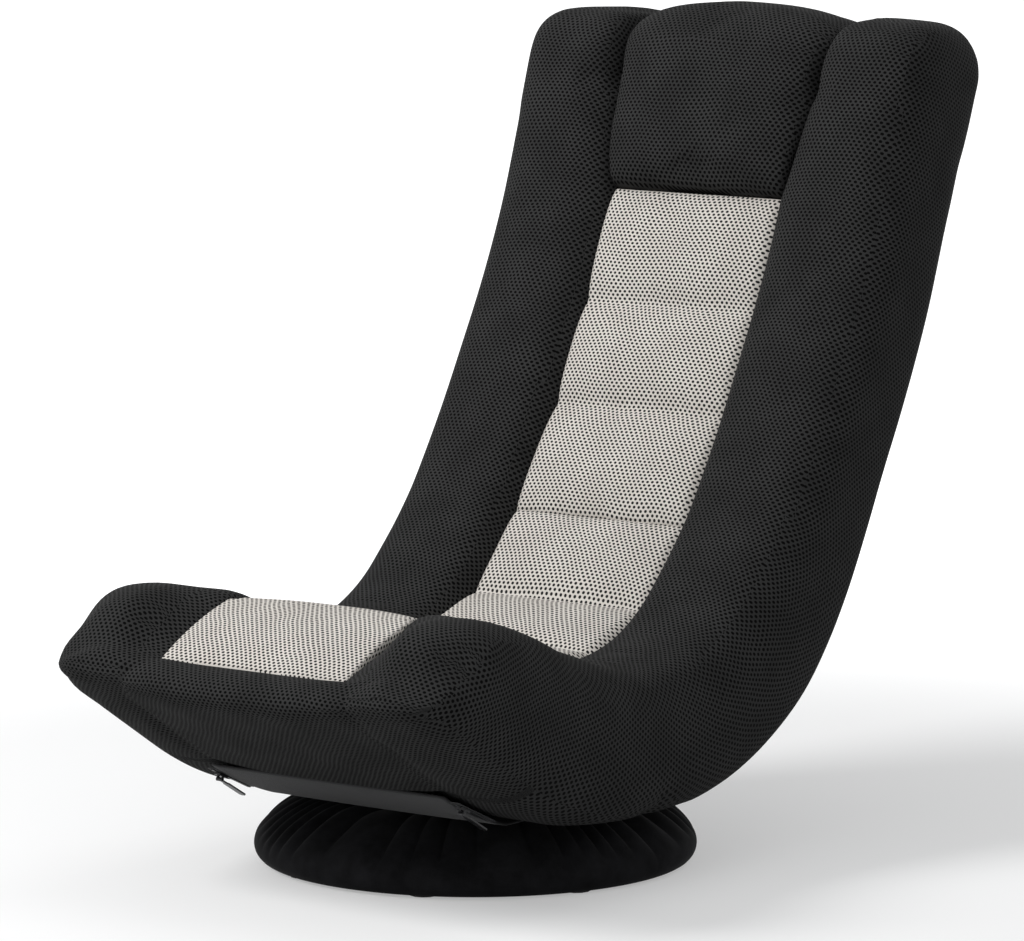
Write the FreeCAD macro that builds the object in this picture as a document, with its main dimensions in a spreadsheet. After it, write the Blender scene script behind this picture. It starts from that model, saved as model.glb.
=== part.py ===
"""Floor gaming chair on a round swivel base, with a ratchet recline line and a fold line.

Millimetres. The origin is on the floor, on the swivel axis. The chair faces -Y, its left side is +X, +Z is up.
The cushion is a thick bent pad: a straight nose ("lead"), a bend round one centre, and a nearly straight back.
Places in the side view are given along that pad, with a depth measured from its middle line, positive
towards the underside and the rear.
"""
import FreeCAD, Part
import Sketcher
import math
import os

doc = FreeCAD.newDocument("FloorGamingChair")
sheet = doc.addObject("Spreadsheet::Sheet", "Sizes")

SIZES = [
    ("chair_width", 524, "overall width of the cushion"),
    ("insert_width", 230, "width of the pale channelled strip"),
    ("pad_half", 81, "half the thickness of seat and back"),
    ("bend_centre_y", -15, "centre that the seat bends round, front to back"),
    ("bend_centre_z", 527, "height of that centre"),
    ("bend_radius", 378, "radius of the pad's middle line round it"),
    ("lead_angle", -28.6, "slope at which the nose rises forward"),
    ("nose_length", 200, "straight nose in front of the bend"),
    ("seat_drop", 13, "how far the seat's front lies under the bend's circle"),
    ("seat_drop_start", -20, "slope at which the seat begins to rise to that circle"),
    ("seat_drop_end", 4, "slope at which the seat has reached that circle"),
    ("back_rise", 24, "how far the back stands in front of the bend's circle"),
    ("back_rise_start", 18, "lean at which the back begins to leave that circle"),
    ("back_rise_end", 52, "lean at which the back stands fully in front of it"),
    ("bend_end_angle", 56, "lean at which the nearly straight back begins"),
    ("back_radius", 1630, "radius of the back's middle line"),
    ("nose_top_radius", 92, "rounding of the nose's upper edge"),
    ("nose_heel_radius", 14, "rounding of the nose's lower edge"),
    ("nose_corner_radius", 60, "rounding of the front corners from above"),
    ("outer_rounding", 50, "rounding of the bolsters' outer edges"),
    ("bend_steps", 10, "straights that the bend is modelled with"),
    ("back_steps", 4, "straights that the back is modelled with"),
    ("corner_chords", 3, "short straights that round a bolster's edge"),
    ("inner_rounding", 26, "rounding of the bolsters beside the strip"),
    ("seat_underside", 77, "height of the seat's flat underside"),
    ("foam_gap", 0.35, "running gap round cushions"),
    ("recline_y", 168, "recline hinge line, front to back"),
    ("recline_z", 182, "height of the recline hinge line"),
    ("fold_y", 321, "fold hinge line, front to back"),
    ("fold_z", 348, "height of the fold hinge line"),
    ("recline_fold_angle", 42, "forward fold of the recline hinge"),
    ("recline_back_angle", 31, "backward travel of the recline hinge"),
    ("fold_angle", 68, "forward travel of the fold hinge"),
    ("seam_depth", 62, "seat channel seams in front of the middle line"),
    ("bend_seam_depth", 52, "seam over the recline hinge in front of the middle line"),
    ("back_seam_depth", 52, "back channel seams in front of the middle line"),
    ("front_seam", 104, "strip's first seam behind the nose's end"),
    ("front_seam_depth", 74, "strip's first seam in front of the middle line"),
    ("strip_front", 28, "strip's front edge behind the nose's end"),
    ("strip_front_depth", 22, "strip's front edge behind the middle line"),
    ("boxing_length", 64, "front boxing's depth from the nose's end"),
    ("boxing_underlap", 15, "how far the boxing reaches under the bend"),
    ("boxing_sole", 16, "thickness of the boxing under the nose"),
    ("core_set", 62, "core foam's front end behind the nose's end"),
    ("channel_crown", 15, "rise of a channel over its seams"),
    ("edge_crown", 6, "rise of a channel at the strip's sides"),
    ("channel_chords", 4, "short straights over a channel's crown"),
    ("edge_draw", 20, "width of the strip's drawn-in sides"),
    ("strip_back", 34, "back of the strip in front of the middle line"),
    ("seat_pitch", 99, "length of a seat channel"),
    ("back_pitch", 113, "length of the channel over the bend"),
    ("bend_seam_angle", 29.8, "angle of the seam over the recline hinge"),
    ("head_angle", 70.2, "lean of the head cushion"),
    ("head_low_front", 41, "head cushion's front edge below its station"),
    ("head_low_rear", 56, "head cushion's rear edge above its station"),
    ("head_front", 81, "head cushion's front face from the middle line"),
    ("head_rear", 81, "head cushion's rear face from the middle line"),
    ("head_top_front", 159, "head cushion's top at its front"),
    ("head_top_rear", 198, "head cushion's top at its rear"),
    ("head_pad_top", 300, "width of the centre head pad at its top"),
    ("head_corner", 60, "rounding of the head's top corners"),
    ("head_crown", 8, "bulge of the centre head pad"),
    ("fabric", 1.5, "thickness of plain fabric panels"),
    ("underside_width", 300, "width of the underside panel"),
    ("underside_front", 10, "front edge of the underside panel on the nose"),
    ("rear_panel_width", 380, "width of the panel behind the back"),
    ("rear_zip_angle", 64.6, "lean of the back where the rear zip runs"),
    ("zip_width", 12, "width of a zip"),
    ("zip_thickness", 2, "thickness of a zip"),
    ("zip_inset", 2, "side zip's ends inside its straight of the bend"),
    ("zip_pull_length", 44, "length of a zip's pull"),
    ("side_pull_swing", 60, "how far the side pulls lie back from hanging"),
    ("wedge_reach", 260, "reach of the bending foam from its hinge line"),
    ("rail_span", 370, "distance between the frame tubes' centres"),
    ("rail_tube", 22, "side of the square frame tubes"),
    ("rail_wall", 1.5, "wall of the frame tubes"),
    ("cross_tube", 18, "side of the square cross tubes"),
    ("tube_gap", 0.5, "gap between a tube and the foam's bore"),
    ("rail_front", 80, "front cross run of the seat frame behind the nose's end"),
    ("rail_bend", 60, "bend radius of the frame tubes"),
    ("back_frame_top_angle", 71, "lean at which the back frame ends"),
    ("back_frame_rise", 90, "back frame's rise above that point"),
    ("hinge_radius", 34, "radius of the hinge cheeks"),
    ("cheek_thickness", 3, "thickness of a hinge cheek"),
    ("plate_sides", 12, "sides of the hinge cheeks and their pockets"),
    ("arm_thickness", 6, "thickness of the toothed arm"),
    ("hinge_side_gap", 0.5, "side gap between arm and cheek"),
    ("arm_width", 20, "width of arms and webs"),
    ("rivet_diameter", 12, "pivot rivet"),
    ("rivet_gap", 0.05, "radial running fit of the pivot"),
    ("tooth_tip", 24, "radius over the ratchet teeth"),
    ("tooth_root", 21, "radius under the ratchet teeth"),
    ("teeth", 16, "number of ratchet teeth"),
    ("spigot_length", 28, "length of a spigot in its tube"),
    ("ring_sides", 32, "straights that a bent ring is modelled with"),
    ("base_width", 460, "diameter of the round base"),
    ("base_rim_height", 20, "height of the base's widest line"),
    ("base_top", 73.2, "height of the base cover's top"),
    ("base_top_width", 324, "diameter where the cover's slope ends"),
    ("base_opening", 236, "opening in the cover's top"),
    ("cover_thickness", 4, "thickness of the gathered cover"),
    ("cover_folds", 28, "number of gathers"),
    ("fold_depth", 5, "depth of a gather at the top"),
    ("foot_height", 2.5, "height of the rubber feet"),
    ("foot_width", 30, "diameter of the rubber feet"),
    ("feet", 8, "number of rubber feet"),
    ("hoop_height", 22, "height of the base's flat hoop"),
    ("hoop_thickness", 5, "thickness of the hoop"),
    ("hoop_width", 410, "outer diameter of the hoop"),
    ("arch_width", 32, "width of the base arches"),
    ("arch_thickness", 4, "thickness of the base arches"),
    ("arch_top_half", 105, "half the flat top of an arch"),
    ("plate_side", 170, "side of the square swivel plates"),
    ("plate_corner", 16, "cut of the swivel plates' corners"),
    ("plate_thickness", 2, "thickness of a swivel plate"),
    ("plate_low", 62, "underside of the lower swivel plate"),
    ("bearing_width", 150, "outer diameter of the swivel's bearing ring"),
    ("bearing_wall", 9, "radial width of the bearing ring"),
    ("bearing_height", 10, "height of the bearing ring"),
    ("bearing_gap", 0.1, "running gap over the bearing ring"),
    ("centre_rivet", 14, "diameter of the swivel's centre rivet"),
    ("bridge_spacing", 110, "distance between the two seat bridges"),
    ("bridge_width", 32, "width of a seat bridge"),
    ("bridge_thickness", 4, "thickness of a seat bridge"),
    ("bridge_flat_half", 78, "half the low flat of a seat bridge"),
    ("bolt_neck", 6, "side of the swivel bolts' square necks"),
    ("base_bolt_spread", 80, "distance between the lower plate's bolts"),
    ("seat_bolt_spread", 120, "distance across between the upper plate's bolts"),
    ("rail_height", 135, "height of the seat rails' level run"),
    ("seat_cross_share", 0.5, "seat cross tube's place on its run"),
    ("lumbar_cross_share", 0.5, "lumbar cross tube's place on its run"),
    ("back_cross_share", 0.3, "back cross tube's place on its run"),
]
for row, (alias, value, meaning) in enumerate(SIZES, start=1):
    sheet.set("A%d" % row, alias)
    sheet.set("B%d" % row, str(value))
    sheet.set("C%d" % row, meaning)
    sheet.setAlias("B%d" % row, alias)
doc.recompute()

nodes = []
FAR = 1500.0


def size(alias):
    return float(sheet.get(alias))


def node(obj, label):
    """Name a finished sub-part; its label is also its file name."""
    obj.Label = label
    nodes.append(obj)
    return obj


def grouped(label, objects):
    """Separate solids that share one sub-part."""
    group = doc.addObject("Part::Compound", label.title().replace("_", ""))
    group.Links = objects
    return node(group, label)


def shaped(label, shape):
    """A sub-part whose form is a loft or a bent sweep."""
    obj = doc.addObject("Part::Feature", label.title().replace("_", ""))
    obj.Shape = shape
    return node(obj, label)


def side(y, z):
    return FreeCAD.Vector(0, y, z)


def turned(angle):
    """Unit vector along the pad's middle line where it leans by this angle."""
    return side(math.cos(math.radians(angle)), math.sin(math.radians(angle)))


def inward(angle):
    """Unit vector from the pad towards the sitter at this angle."""
    return side(-math.sin(math.radians(angle)), math.cos(math.radians(angle)))


bend_centre = side(size("bend_centre_y"), size("bend_centre_z"))
back_centre = bend_centre + inward(size("bend_end_angle")) * (size("back_radius") - size("bend_radius"))
recline_axis = side(size("recline_y"), size("recline_z"))
fold_axis = side(size("fold_y"), size("fold_z"))
half_width = size("chair_width") / 2
strip_half = size("insert_width") / 2
pad_half = size("pad_half")
gap = size("foam_gap")
rail_x = size("rail_span") / 2


def eased(value, low, high):
    """From 0 at low to 1 at high, leaving both level."""
    share = min(max((value - low) / (high - low), 0), 1)
    return share * share * (3 - 2 * share)


def lift(angle):
    """How far the pad's middle line stands inside the bend's circle: under it at the seat's front, inside it behind."""
    sunk = 1 - eased(angle, size("seat_drop_start"), size("seat_drop_end"))
    raised = eased(angle, size("back_rise_start"), size("back_rise_end"))
    return size("back_rise") * raised - size("seat_drop") * sunk


def bend_point(depth, angle):
    return bend_centre - inward(angle) * (size("bend_radius") + depth - lift(angle))


def back_point(depth, angle):
    return back_centre - inward(angle) * (size("back_radius") + depth - size("back_rise"))


def lead_point(forward, depth):
    return bend_point(depth, size("lead_angle")) - turned(size("lead_angle")) * forward


def head_point(rise, front):
    return back_point(0, size("head_angle")) + turned(size("head_angle")) * rise + inward(size("head_angle")) * front


def at_x(point, x):
    return FreeCAD.Vector(x, point.y, point.z)


def rounded_edges(points, radii, closed):
    """Straight runs through the points, with each corner rounded by a tangent arc of its radius."""
    count = len(points)
    corners = []
    for i, point in enumerate(points):
        radius = radii[i]
        if radius <= 0 or (not closed and i in (0, count - 1)):
            corners.append((point, None, point))
            continue
        before = (points[i - 1] - point).normalize()
        after = (points[(i + 1) % count] - point).normalize()
        half = before.getAngle(after) / 2
        reach = radius / math.tan(half)
        middle = (before + after).normalize()
        arc_middle = point + middle * (radius / math.sin(half) - radius)
        corners.append((point + before * reach, arc_middle, point + after * reach))
    edges = []
    for i, (start, middle, end) in enumerate(corners):
        if middle is not None:
            edges.append(Part.Arc(start, middle, end).toShape())
        if i + 1 < count or closed:
            following = corners[(i + 1) % count][0]
            if (following - end).Length > 1e-6:
                edges.append(Part.LineSegment(end, following).toShape())
    return edges


def soft_corners(points, radii):
    """A closed outline whose corners are rounded in a few short chords, as sewn cloth over foam turns a corner."""
    outline = []
    count = len(points)
    for i, point in enumerate(points):
        if radii[i] <= 0:
            outline.append(point)
            continue
        before = (points[i - 1] - point).normalize()
        after = (points[(i + 1) % count] - point).normalize()
        half = before.getAngle(after) / 2
        centre = point + (before + after).normalize() * (radii[i] / math.sin(half))
        start = point + before * (radii[i] / math.tan(half)) - centre
        end = point + after * (radii[i] / math.tan(half)) - centre
        chords = int(size("corner_chords"))
        sweep = math.pi - 2 * half
        for k in range(chords + 1):
            share = k / chords
            direction = start * math.sin((1 - share) * sweep) + end * math.sin(share * sweep)
            outline.append(centre + direction * (1 / math.sin(sweep)))
    return outline


def rounded_face(points, radii):
    return Part.Face(Part.Wire(rounded_edges(points, radii, True)))


def prism(points, x_low, x_high, radii=None):
    """A side-view outline carried across the chair from x_low to x_high."""
    placed = [at_x(p, x_low) for p in points]
    face = rounded_face(placed, radii or [0] * len(points))
    return face.extrude(FreeCAD.Vector(x_high - x_low, 0, 0))


def one_solid(shape):
    """The single solid of a boolean's result, or the compound if there are several."""
    return shape.Solids[0] if len(shape.Solids) == 1 else Part.makeCompound(shape.Solids)


def mirrored(shape):
    return shape.mirror(FreeCAD.Vector(0, 0, 0), FreeCAD.Vector(1, 0, 0))


ACROSS = FreeCAD.Vector(1, 0, 0)


def sweep_stations():
    """Functions that place a depth in the side view, one for each cross-section of the pad from nose to head."""
    stations = [lambda depth: lead_point(size("nose_length") + 40, depth)]
    turn = size("bend_end_angle") - size("lead_angle")
    steps = int(size("bend_steps"))
    for k in range(steps + 1):
        angle = size("lead_angle") + turn * k / steps
        stations.append(lambda depth, angle=angle: bend_point(depth, angle))
    turn = size("head_angle") + 4 - size("bend_end_angle")
    steps = int(size("back_steps"))
    for k in range(1, steps + 1):
        angle = size("bend_end_angle") + turn * k / steps
        stations.append(lambda depth, angle=angle: back_point(depth, angle))
    return stations


def skinned(sections):
    """A solid through cross-sections with matching corners; its sides are flat between neighbours."""
    faces = [Part.Face(Part.makePolygon(s + s[:1])) for s in (sections[0], sections[-1])]
    for first, second in zip(sections[:-1], sections[1:]):
        for i in range(len(first)):
            j = (i + 1) % len(first)
            faces += flat_faces([first[i], first[j], second[j], second[i]])
    solid = Part.Solid(Part.makeShell(faces))
    if solid.Volume < 0:
        solid.reverse()
    return solid


def flat_faces(corners):
    """One flat face on four corners, or two triangles where they don't lie in a plane."""
    a, b, c, d = corners
    normal = (b - a).cross(c - a).normalize()
    if abs((d - a).dot(normal)) < 1e-7:
        return [Part.Face(Part.makePolygon([a, b, c, d, a]))]
    return [Part.Face(Part.makePolygon([a, b, c, a])), Part.Face(Part.makePolygon([a, c, d, a]))]


def pad_sweep(outline, radii):
    """A cross-section, given as (x, depth), carried along the whole pad: nose, bend and back."""
    flat = soft_corners([FreeCAD.Vector(x, depth, 0) for x, depth in outline], radii)
    return skinned([[at_x(place(p.y), p.x) for p in flat] for place in sweep_stations()])


def rotated(vector, degrees):
    """Turn a side-view vector, positive from the sitter's side towards the nose."""
    a = math.radians(degrees)
    return side(vector.y * math.cos(a) - vector.z * math.sin(a), vector.y * math.sin(a) + vector.z * math.cos(a))


def to_centre(axis):
    return (bend_centre - axis).normalize()


RECLINE_FRONT = size("recline_fold_angle") / 2
RECLINE_REAR = size("recline_back_angle") / 2
FOLD_FRONT = size("fold_angle") / 2


def hinge_end(axis, front_half, rear_half, towards_nose, clear):
    """The two lines at which foam ends beside a hinge line: sitter's side first, then rear side."""
    sign = 1 if towards_nose else -1
    centre_line = to_centre(axis)
    along = rotated(centre_line, 90 * sign)
    apex = axis + along * clear
    front = rotated(centre_line, front_half * sign)
    rear = rotated(centre_line * -1, -rear_half * sign)
    return apex + front * FAR, apex, apex + rear * FAR


def seat_region(clear):
    front, apex, rear = hinge_end(recline_axis, RECLINE_FRONT, RECLINE_REAR, True, clear)
    return prism([front, apex, rear, side(-FAR, -FAR), side(-FAR, FAR)], -FAR, FAR)


def lumbar_region(clear):
    low_front, low_apex, low_rear = hinge_end(recline_axis, RECLINE_FRONT, RECLINE_REAR, False, clear)
    top_front, top_apex, top_rear = hinge_end(fold_axis, FOLD_FRONT, 0, True, clear)
    upper = prism([top_front, top_apex, top_rear, side(-FAR, -FAR), side(-FAR, FAR)], -FAR, FAR)
    lower = prism([low_front, low_apex, low_rear, side(FAR, -FAR), side(FAR, FAR)], -FAR, FAR)
    return upper.common(lower)


def back_region(clear):
    front, apex, rear = hinge_end(fold_axis, FOLD_FRONT, 0, False, clear)
    return prism([front, apex, rear, side(FAR, -FAR), side(FAR, FAR), side(0, FAR)], -FAR, FAR)


def below_head(clear):
    """Everything under the slanting joint between back and head cushion."""
    slant = head_point(size("head_low_rear"), -size("head_rear") - 1) - head_point(-size("head_low_front"), pad_half)
    slant.normalize()
    low = head_point(-size("head_low_front"), pad_half) - side(0, clear)
    return prism([low - slant * FAR, low + slant * FAR, side(FAR, -FAR), side(-FAR, -FAR)], -FAR, FAR)


def above_floor_line(height):
    return Part.makeBox(2 * FAR, 2 * FAR, FAR, FreeCAD.Vector(-FAR, -FAR, height))


def nose_profile(length):
    """Side view of the seat's nose, open far behind it."""
    points = [
        lead_point(-FAR, -FAR), lead_point(40, -FAR), lead_point(40, -pad_half - 1),
        lead_point(length - 14, -pad_half + 1), lead_point(length + 1, pad_half - 8),
        lead_point(60, pad_half + 1), lead_point(60, FAR), lead_point(-FAR, FAR),
    ]
    radii = [0, 0, 0, size("nose_top_radius"), size("nose_heel_radius"), 0, 0, 0]
    return prism(points, -half_width - 1, half_width + 1, radii)


def nose_plan():
    """The nose's rounded front corners, seen square to the nose."""
    deep = inward(size("lead_angle")) * -FAR
    corners = [(-half_width, -FAR), (half_width, -FAR), (half_width, size("nose_length") + 4),
               (-half_width, size("nose_length") + 4)]
    points = [at_x(lead_point(forward, -FAR / 2), x) for x, forward in corners]
    return rounded_face(points, [0, 0, size("nose_corner_radius"), size("nose_corner_radius")]).extrude(deep)


def bent_bar(points, bend, width, x_low, x_high):
    """A flat or square bar in the side view: its centre line bends in smooth corners."""
    half = width / 2
    count = len(points)
    runs = [(points[i + 1] - points[i]).normalize() for i in range(count - 1)]
    upper, lower, upper_radii, lower_radii = [], [], [], []
    for i, point in enumerate(points):
        before = runs[max(i - 1, 0)]
        after = runs[min(i, count - 2)]
        lean = rotated((before + after).normalize(), 90)
        reach = half / lean.dot(rotated(after, 90))
        turn = before.cross(after).x
        end = i in (0, count - 1)
        upper.append(point + lean * reach)
        lower.append(point - lean * reach)
        upper_radii.append(0 if end else bend - half * (1 if turn > 0 else -1))
        lower_radii.append(0 if end else bend + half * (1 if turn > 0 else -1))
    return prism(upper + lower[::-1], x_low, x_high, upper_radii + lower_radii[::-1])


def square_bar(place, lean, width, x_low, x_high):
    """A straight square bar across the chair, turned to lean with the pad."""
    along = turned(lean) * (width / 2)
    across = inward(lean) * (width / 2)
    return prism([place - along - across, place + along - across, place + along + across, place - along + across],
                 x_low, x_high)


def frame_hoop(points, lean, width, trim):
    """Two bent side rails and the cross run that joins their last ends, as one shape.

    Trim is what the shape is drawn in at its closed corners, which is the wall for the bore of the tube.
    """
    last = points[-1]
    heading = (last - points[-2]).normalize()
    tube = size("rail_tube")
    ends = points[:-1] + [last + heading * (tube / 2 - trim)]
    shapes = []
    for x in (rail_x, -rail_x):
        shapes.append(bent_bar(ends, size("rail_bend"), width, x - width / 2, x + width / 2))
    reach = rail_x + tube / 2 - trim
    return shapes[0].fuse([shapes[1], square_bar(last, lean, width, -reach, reach)]).removeSplitter()


def stretched(points, more):
    """The same route with its first end carried on by a length."""
    return [points[0] + (points[0] - points[1]).normalize() * more] + points[1:]


def plane_of(body, role):
    return [f for f in body.Origin.OriginFeatures if f.Role == role][0]


def outline_sketch(body, role, points, name):
    """A closed sketch whose corners are held at distances given by the sheet's sizes."""
    sketch = body.newObject("Sketcher::SketchObject", name)
    sketch.AttachmentSupport = (plane_of(body, role), [""])
    sketch.MapMode = "FlatFace"
    places = [FreeCAD.Vector(float(sketch.evalExpression(a)), float(sketch.evalExpression(b)), 0) for a, b in points]
    count = len(places)
    for i in range(count):
        sketch.addGeometry(Part.LineSegment(places[i], places[(i + 1) % count]), False)
    for i in range(count):
        sketch.addConstraint(Sketcher.Constraint("Coincident", i, 2, (i + 1) % count, 1))
    for i, pair in enumerate(points):
        for kind, text, value in (("DistanceX", pair[0], places[i].x), ("DistanceY", pair[1], places[i].y)):
            index = sketch.addConstraint(Sketcher.Constraint(kind, -1, 1, i, 1, value))
            sketch.setExpression("Constraints[%d]" % index, text)
    return sketch


def pad(body, sketch, length, midplane=False, name="Pad"):
    feature = body.newObject("PartDesign::Pad", name)
    feature.Profile = sketch
    feature.setExpression("Length", length)
    feature.Midplane = midplane
    return feature


def revolution(body, sketch, name):
    feature = body.newObject("PartDesign::Revolution", name)
    feature.Profile = sketch
    feature.ReferenceAxis = (sketch, ["V_Axis"])
    feature.Angle = 360
    return feature


def primitive(kind, name, place=None, **sizes):
    """A Part primitive with its sizes, and its place along X, Y and Z, bound to the sheet."""
    obj = doc.addObject("Part::" + kind, name)
    for key, text in sizes.items():
        obj.setExpression(key, text)
    for axis, text in (place or {}).items():
        obj.setExpression("Placement.Base." + axis, text)
    return obj


def cut_of(name, base, tool):
    obj = doc.addObject("Part::Cut", name)
    obj.Base = base
    obj.Tool = tool
    return obj


def fuse_of(name, shapes):
    obj = doc.addObject("Part::MultiFuse", name)
    obj.Shapes = shapes
    return obj


def upright_ring(outer, inner, low, high):
    """A flat ring round the swivel axis, modelled with short straights."""
    sides = int(size("ring_sides"))
    return closed_rings([star_ring(radius, height, 0, sides) for radius, height in
                         ((inner, low), (outer, low), (outer, high), (inner, high))])


# Swivel base: ring, arches, feet, padding and gathered cover
hoop_low = "(Sizes.foot_height + Sizes.cover_thickness + Sizes.foam_gap)"


def make_base_hoop():
    low = size("foot_height") + size("cover_thickness") + gap
    outer = size("hoop_width") / 2
    shaped("base_hoop", upright_ring(outer, outer - size("hoop_thickness"), low, low + size("hoop_height")))


def make_arch(name, role, top):
    """A flat bar bent up from the hoop's top to a flat middle."""
    body = doc.addObject("PartDesign::Body", name)
    rise = hoop_low + " + Sizes.hoop_height"
    toe = "(Sizes.hoop_width / 2 - 2)"
    heel = "(Sizes.hoop_width / 2 - 14)"
    half = "Sizes.arch_top_half"
    thick = "Sizes.arch_thickness"
    points = [(toe, rise), (toe, "%s + %s" % (rise, thick)), ("%s + 2" % heel, "%s + %s" % (rise, thick)),
              (half, top), ("-" + half, top), ("-(%s + 2)" % heel, "%s + %s" % (rise, thick)),
              ("-" + toe, "%s + %s" % (rise, thick)), ("-" + toe, rise), ("-" + heel, rise),
              ("-(%s - 2)" % half, "%s - %s" % (top, thick)), ("%s - 2" % half, "%s - %s" % (top, thick)),
              (heel, rise)]
    pad(body, outline_sketch(body, role, points, name + "Outline"), "Sizes.arch_width", True, name + "Bar")
    return body


def make_arches():
    """Two crossing arches: the one along the chair passes under the one across it."""
    upper = make_arch("ArchAcross", "XZ_Plane", "Sizes.plate_low")
    lower = make_arch("ArchAlong", "YZ_Plane", "Sizes.plate_low - Sizes.arch_thickness")
    grouped("base_arches", [upper, lower])


def make_feet():
    """The feet stand apart from one another, so they are separate solids in one sub-part."""
    count = int(size("feet"))
    middle = (size("hoop_width") - size("hoop_thickness")) / 2
    solids = []
    for i in range(count):
        angle = math.radians(360 * (i + 0.5) / count)
        centre = FreeCAD.Vector(middle * math.cos(angle), middle * math.sin(angle), 0)
        rim = [centre + point for point in star_ring(size("foot_width") / 2, 0, 0, int(size("plate_sides")))]
        solids.append(Part.Face(Part.makePolygon(rim + rim[:1])).extrude(FreeCAD.Vector(0, 0, size("foot_height"))))
    shaped("base_feet", Part.makeCompound(solids))


def star_ring(radius, height, depth, count):
    """One level of the gathered cover: points on a circle, every second one drawn in."""
    points = []
    for i in range(count):
        reach = radius - (depth if i % 2 else 0)
        angle = 2 * math.pi * i / count
        points.append(FreeCAD.Vector(reach * math.cos(angle), reach * math.sin(angle), height))
    return points


def cover_levels(inset):
    """Radius, height and gather depth of the cover's levels, from the hem to the top."""
    rim = size("base_width") / 2 - inset
    rim_z = size("base_rim_height")
    top = size("base_top_width") / 2 - inset
    low = size("foot_height") + inset
    high = size("base_top") - inset
    fold = size("fold_depth")
    levels = [(rim - 11, low, 0), (rim - 3, low + (rim_z - low) * 0.45, 0), (rim, rim_z, 0),
              (rim - 8, rim_z + 15, 0.3 * fold), (top + 10, high - 7, fold), (top, high, 0.6 * fold)]
    if inset == 0:
        return levels
    return [(radius - depth, height, 0) for radius, height, depth in levels]


def facets_between(first, second):
    """Flat triangles between two levels of the same number of points."""
    faces = []
    count = len(first)
    for i in range(count):
        j = (i + 1) % count
        for corners in ((first[i], first[j], second[j]), (first[i], second[j], second[i])):
            faces.append(Part.Face(Part.makePolygon(list(corners) + [corners[0]])))
    return faces


def make_cover():
    """A gathered cloth skirt with its wall's true thickness, drawn over the rim and turned in at the hem."""
    folds = 2 * int(size("cover_folds"))
    wall = size("cover_thickness")
    opening = size("base_opening") / 2
    hem = size("hoop_width") / 2 - size("foot_width")
    outer_rings = [star_ring(hem, cover_levels(0)[0][1], 0, folds)]
    outer_rings += [star_ring(radius, height, depth, folds) for radius, height, depth in cover_levels(0)]
    outer_rings.append(star_ring(opening, size("base_top"), 0, folds))
    inner_rings = [star_ring(opening, size("base_top") - wall, 0, folds)]
    inner_rings += [star_ring(radius, height, 0, folds) for radius, height, depth in
                    reversed(cover_levels(wall)[:5])]
    inner_rings.append(star_ring(hem, cover_levels(0)[0][1] + wall, 0, folds))
    shaped("base_gathered_cover", closed_rings(outer_rings + inner_rings))


def closed_rings(rings):
    """A solid ring whose section runs through the given rings of points, each joined to the next by flat facets."""
    faces = []
    for first, second in zip(rings, rings[1:] + rings[:1]):
        faces += facets_between(first, second)
    solid = Part.Solid(Part.makeShell(faces))
    if solid.Volume < 0:
        solid.reverse()
    return solid


def make_base_padding():
    """Foam between hoop and cover; its inner face stands off the hoop and the arches."""
    wall = size("cover_thickness") + gap
    folds = int(size("cover_folds"))
    levels = [(radius - 0.2, height) for radius, height, fold in cover_levels(wall)[:4]]
    inner = (size("hoop_width") / 2 + gap) / math.cos(math.pi / folds)
    foam_top = size("foot_height") + size("cover_thickness") + gap + size("hoop_height") + size("arch_thickness")
    section = levels[:3] + [(levels[3][0] - size("fold_depth") / 2, levels[3][1]), (inner, foam_top + 3),
                            (inner, levels[0][1])]
    shaped("base_foam_ring", closed_rings([star_ring(radius, height, 0, folds) for radius, height in section]))


bearing_low = "(Sizes.plate_low + Sizes.plate_thickness)"
upper_low = "(Sizes.plate_low + Sizes.plate_thickness + Sizes.bearing_height + Sizes.bearing_gap)"
swivel_high = "(Sizes.plate_low + 2 * Sizes.plate_thickness + Sizes.bearing_height + Sizes.bearing_gap)"


def swivel_top():
    return (size("plate_low") + 2 * size("plate_thickness") + size("bearing_height") + size("bearing_gap"))


def bolt_places(part):
    """Bolts of the lower plate stand on the arches; those of the upper plate under the bridges."""
    if part == "base":
        return [(size("base_bolt_spread") / 2, 0), (-size("base_bolt_spread") / 2, 0)]
    x = size("seat_bolt_spread") / 2
    y = size("bridge_spacing") / 2
    return [(x, y), (-x, y), (x, -y), (-x, -y)]


def make_plate(name, label, bottom, part, rivet_gap):
    """A square swivel plate with cut corners, with square bolt holes and the centre rivet's bore."""
    slab = primitive("Box", name + "Slab", {"x": "-Sizes.plate_side / 2", "y": "-Sizes.plate_side / 2", "z": bottom},
                     Length="Sizes.plate_side", Width="Sizes.plate_side", Height="Sizes.plate_thickness")
    doc.recompute()
    rounded = doc.addObject("Part::Chamfer", name + "Rounded")
    rounded.Base = slab
    upright = [i for i, e in enumerate(slab.Shape.Edges, start=1) if abs(e.tangentAt(0).z) > 0.9]
    rounded.Edges = [(i, size("plate_corner"), size("plate_corner")) for i in upright]
    centre = primitive("Cylinder", name + "Bore", {"z": bottom}, Height="Sizes.plate_thickness",
                       Radius="Sizes.centre_rivet / 2" + rivet_gap)
    drills = [centre]
    for i, (x, y) in enumerate(bolt_places(part)):
        drill = primitive("Box", "%sHole%d" % (name, i), {"z": bottom}, Height="Sizes.plate_thickness",
                          Length="Sizes.bolt_neck", Width="Sizes.bolt_neck")
        drill.Placement.Base.x = x - size("bolt_neck") / 2
        drill.Placement.Base.y = y - size("bolt_neck") / 2
        drills.append(drill)
    return node(cut_of(name, rounded, fuse_of(name + "Drills", drills)), label)


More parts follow.
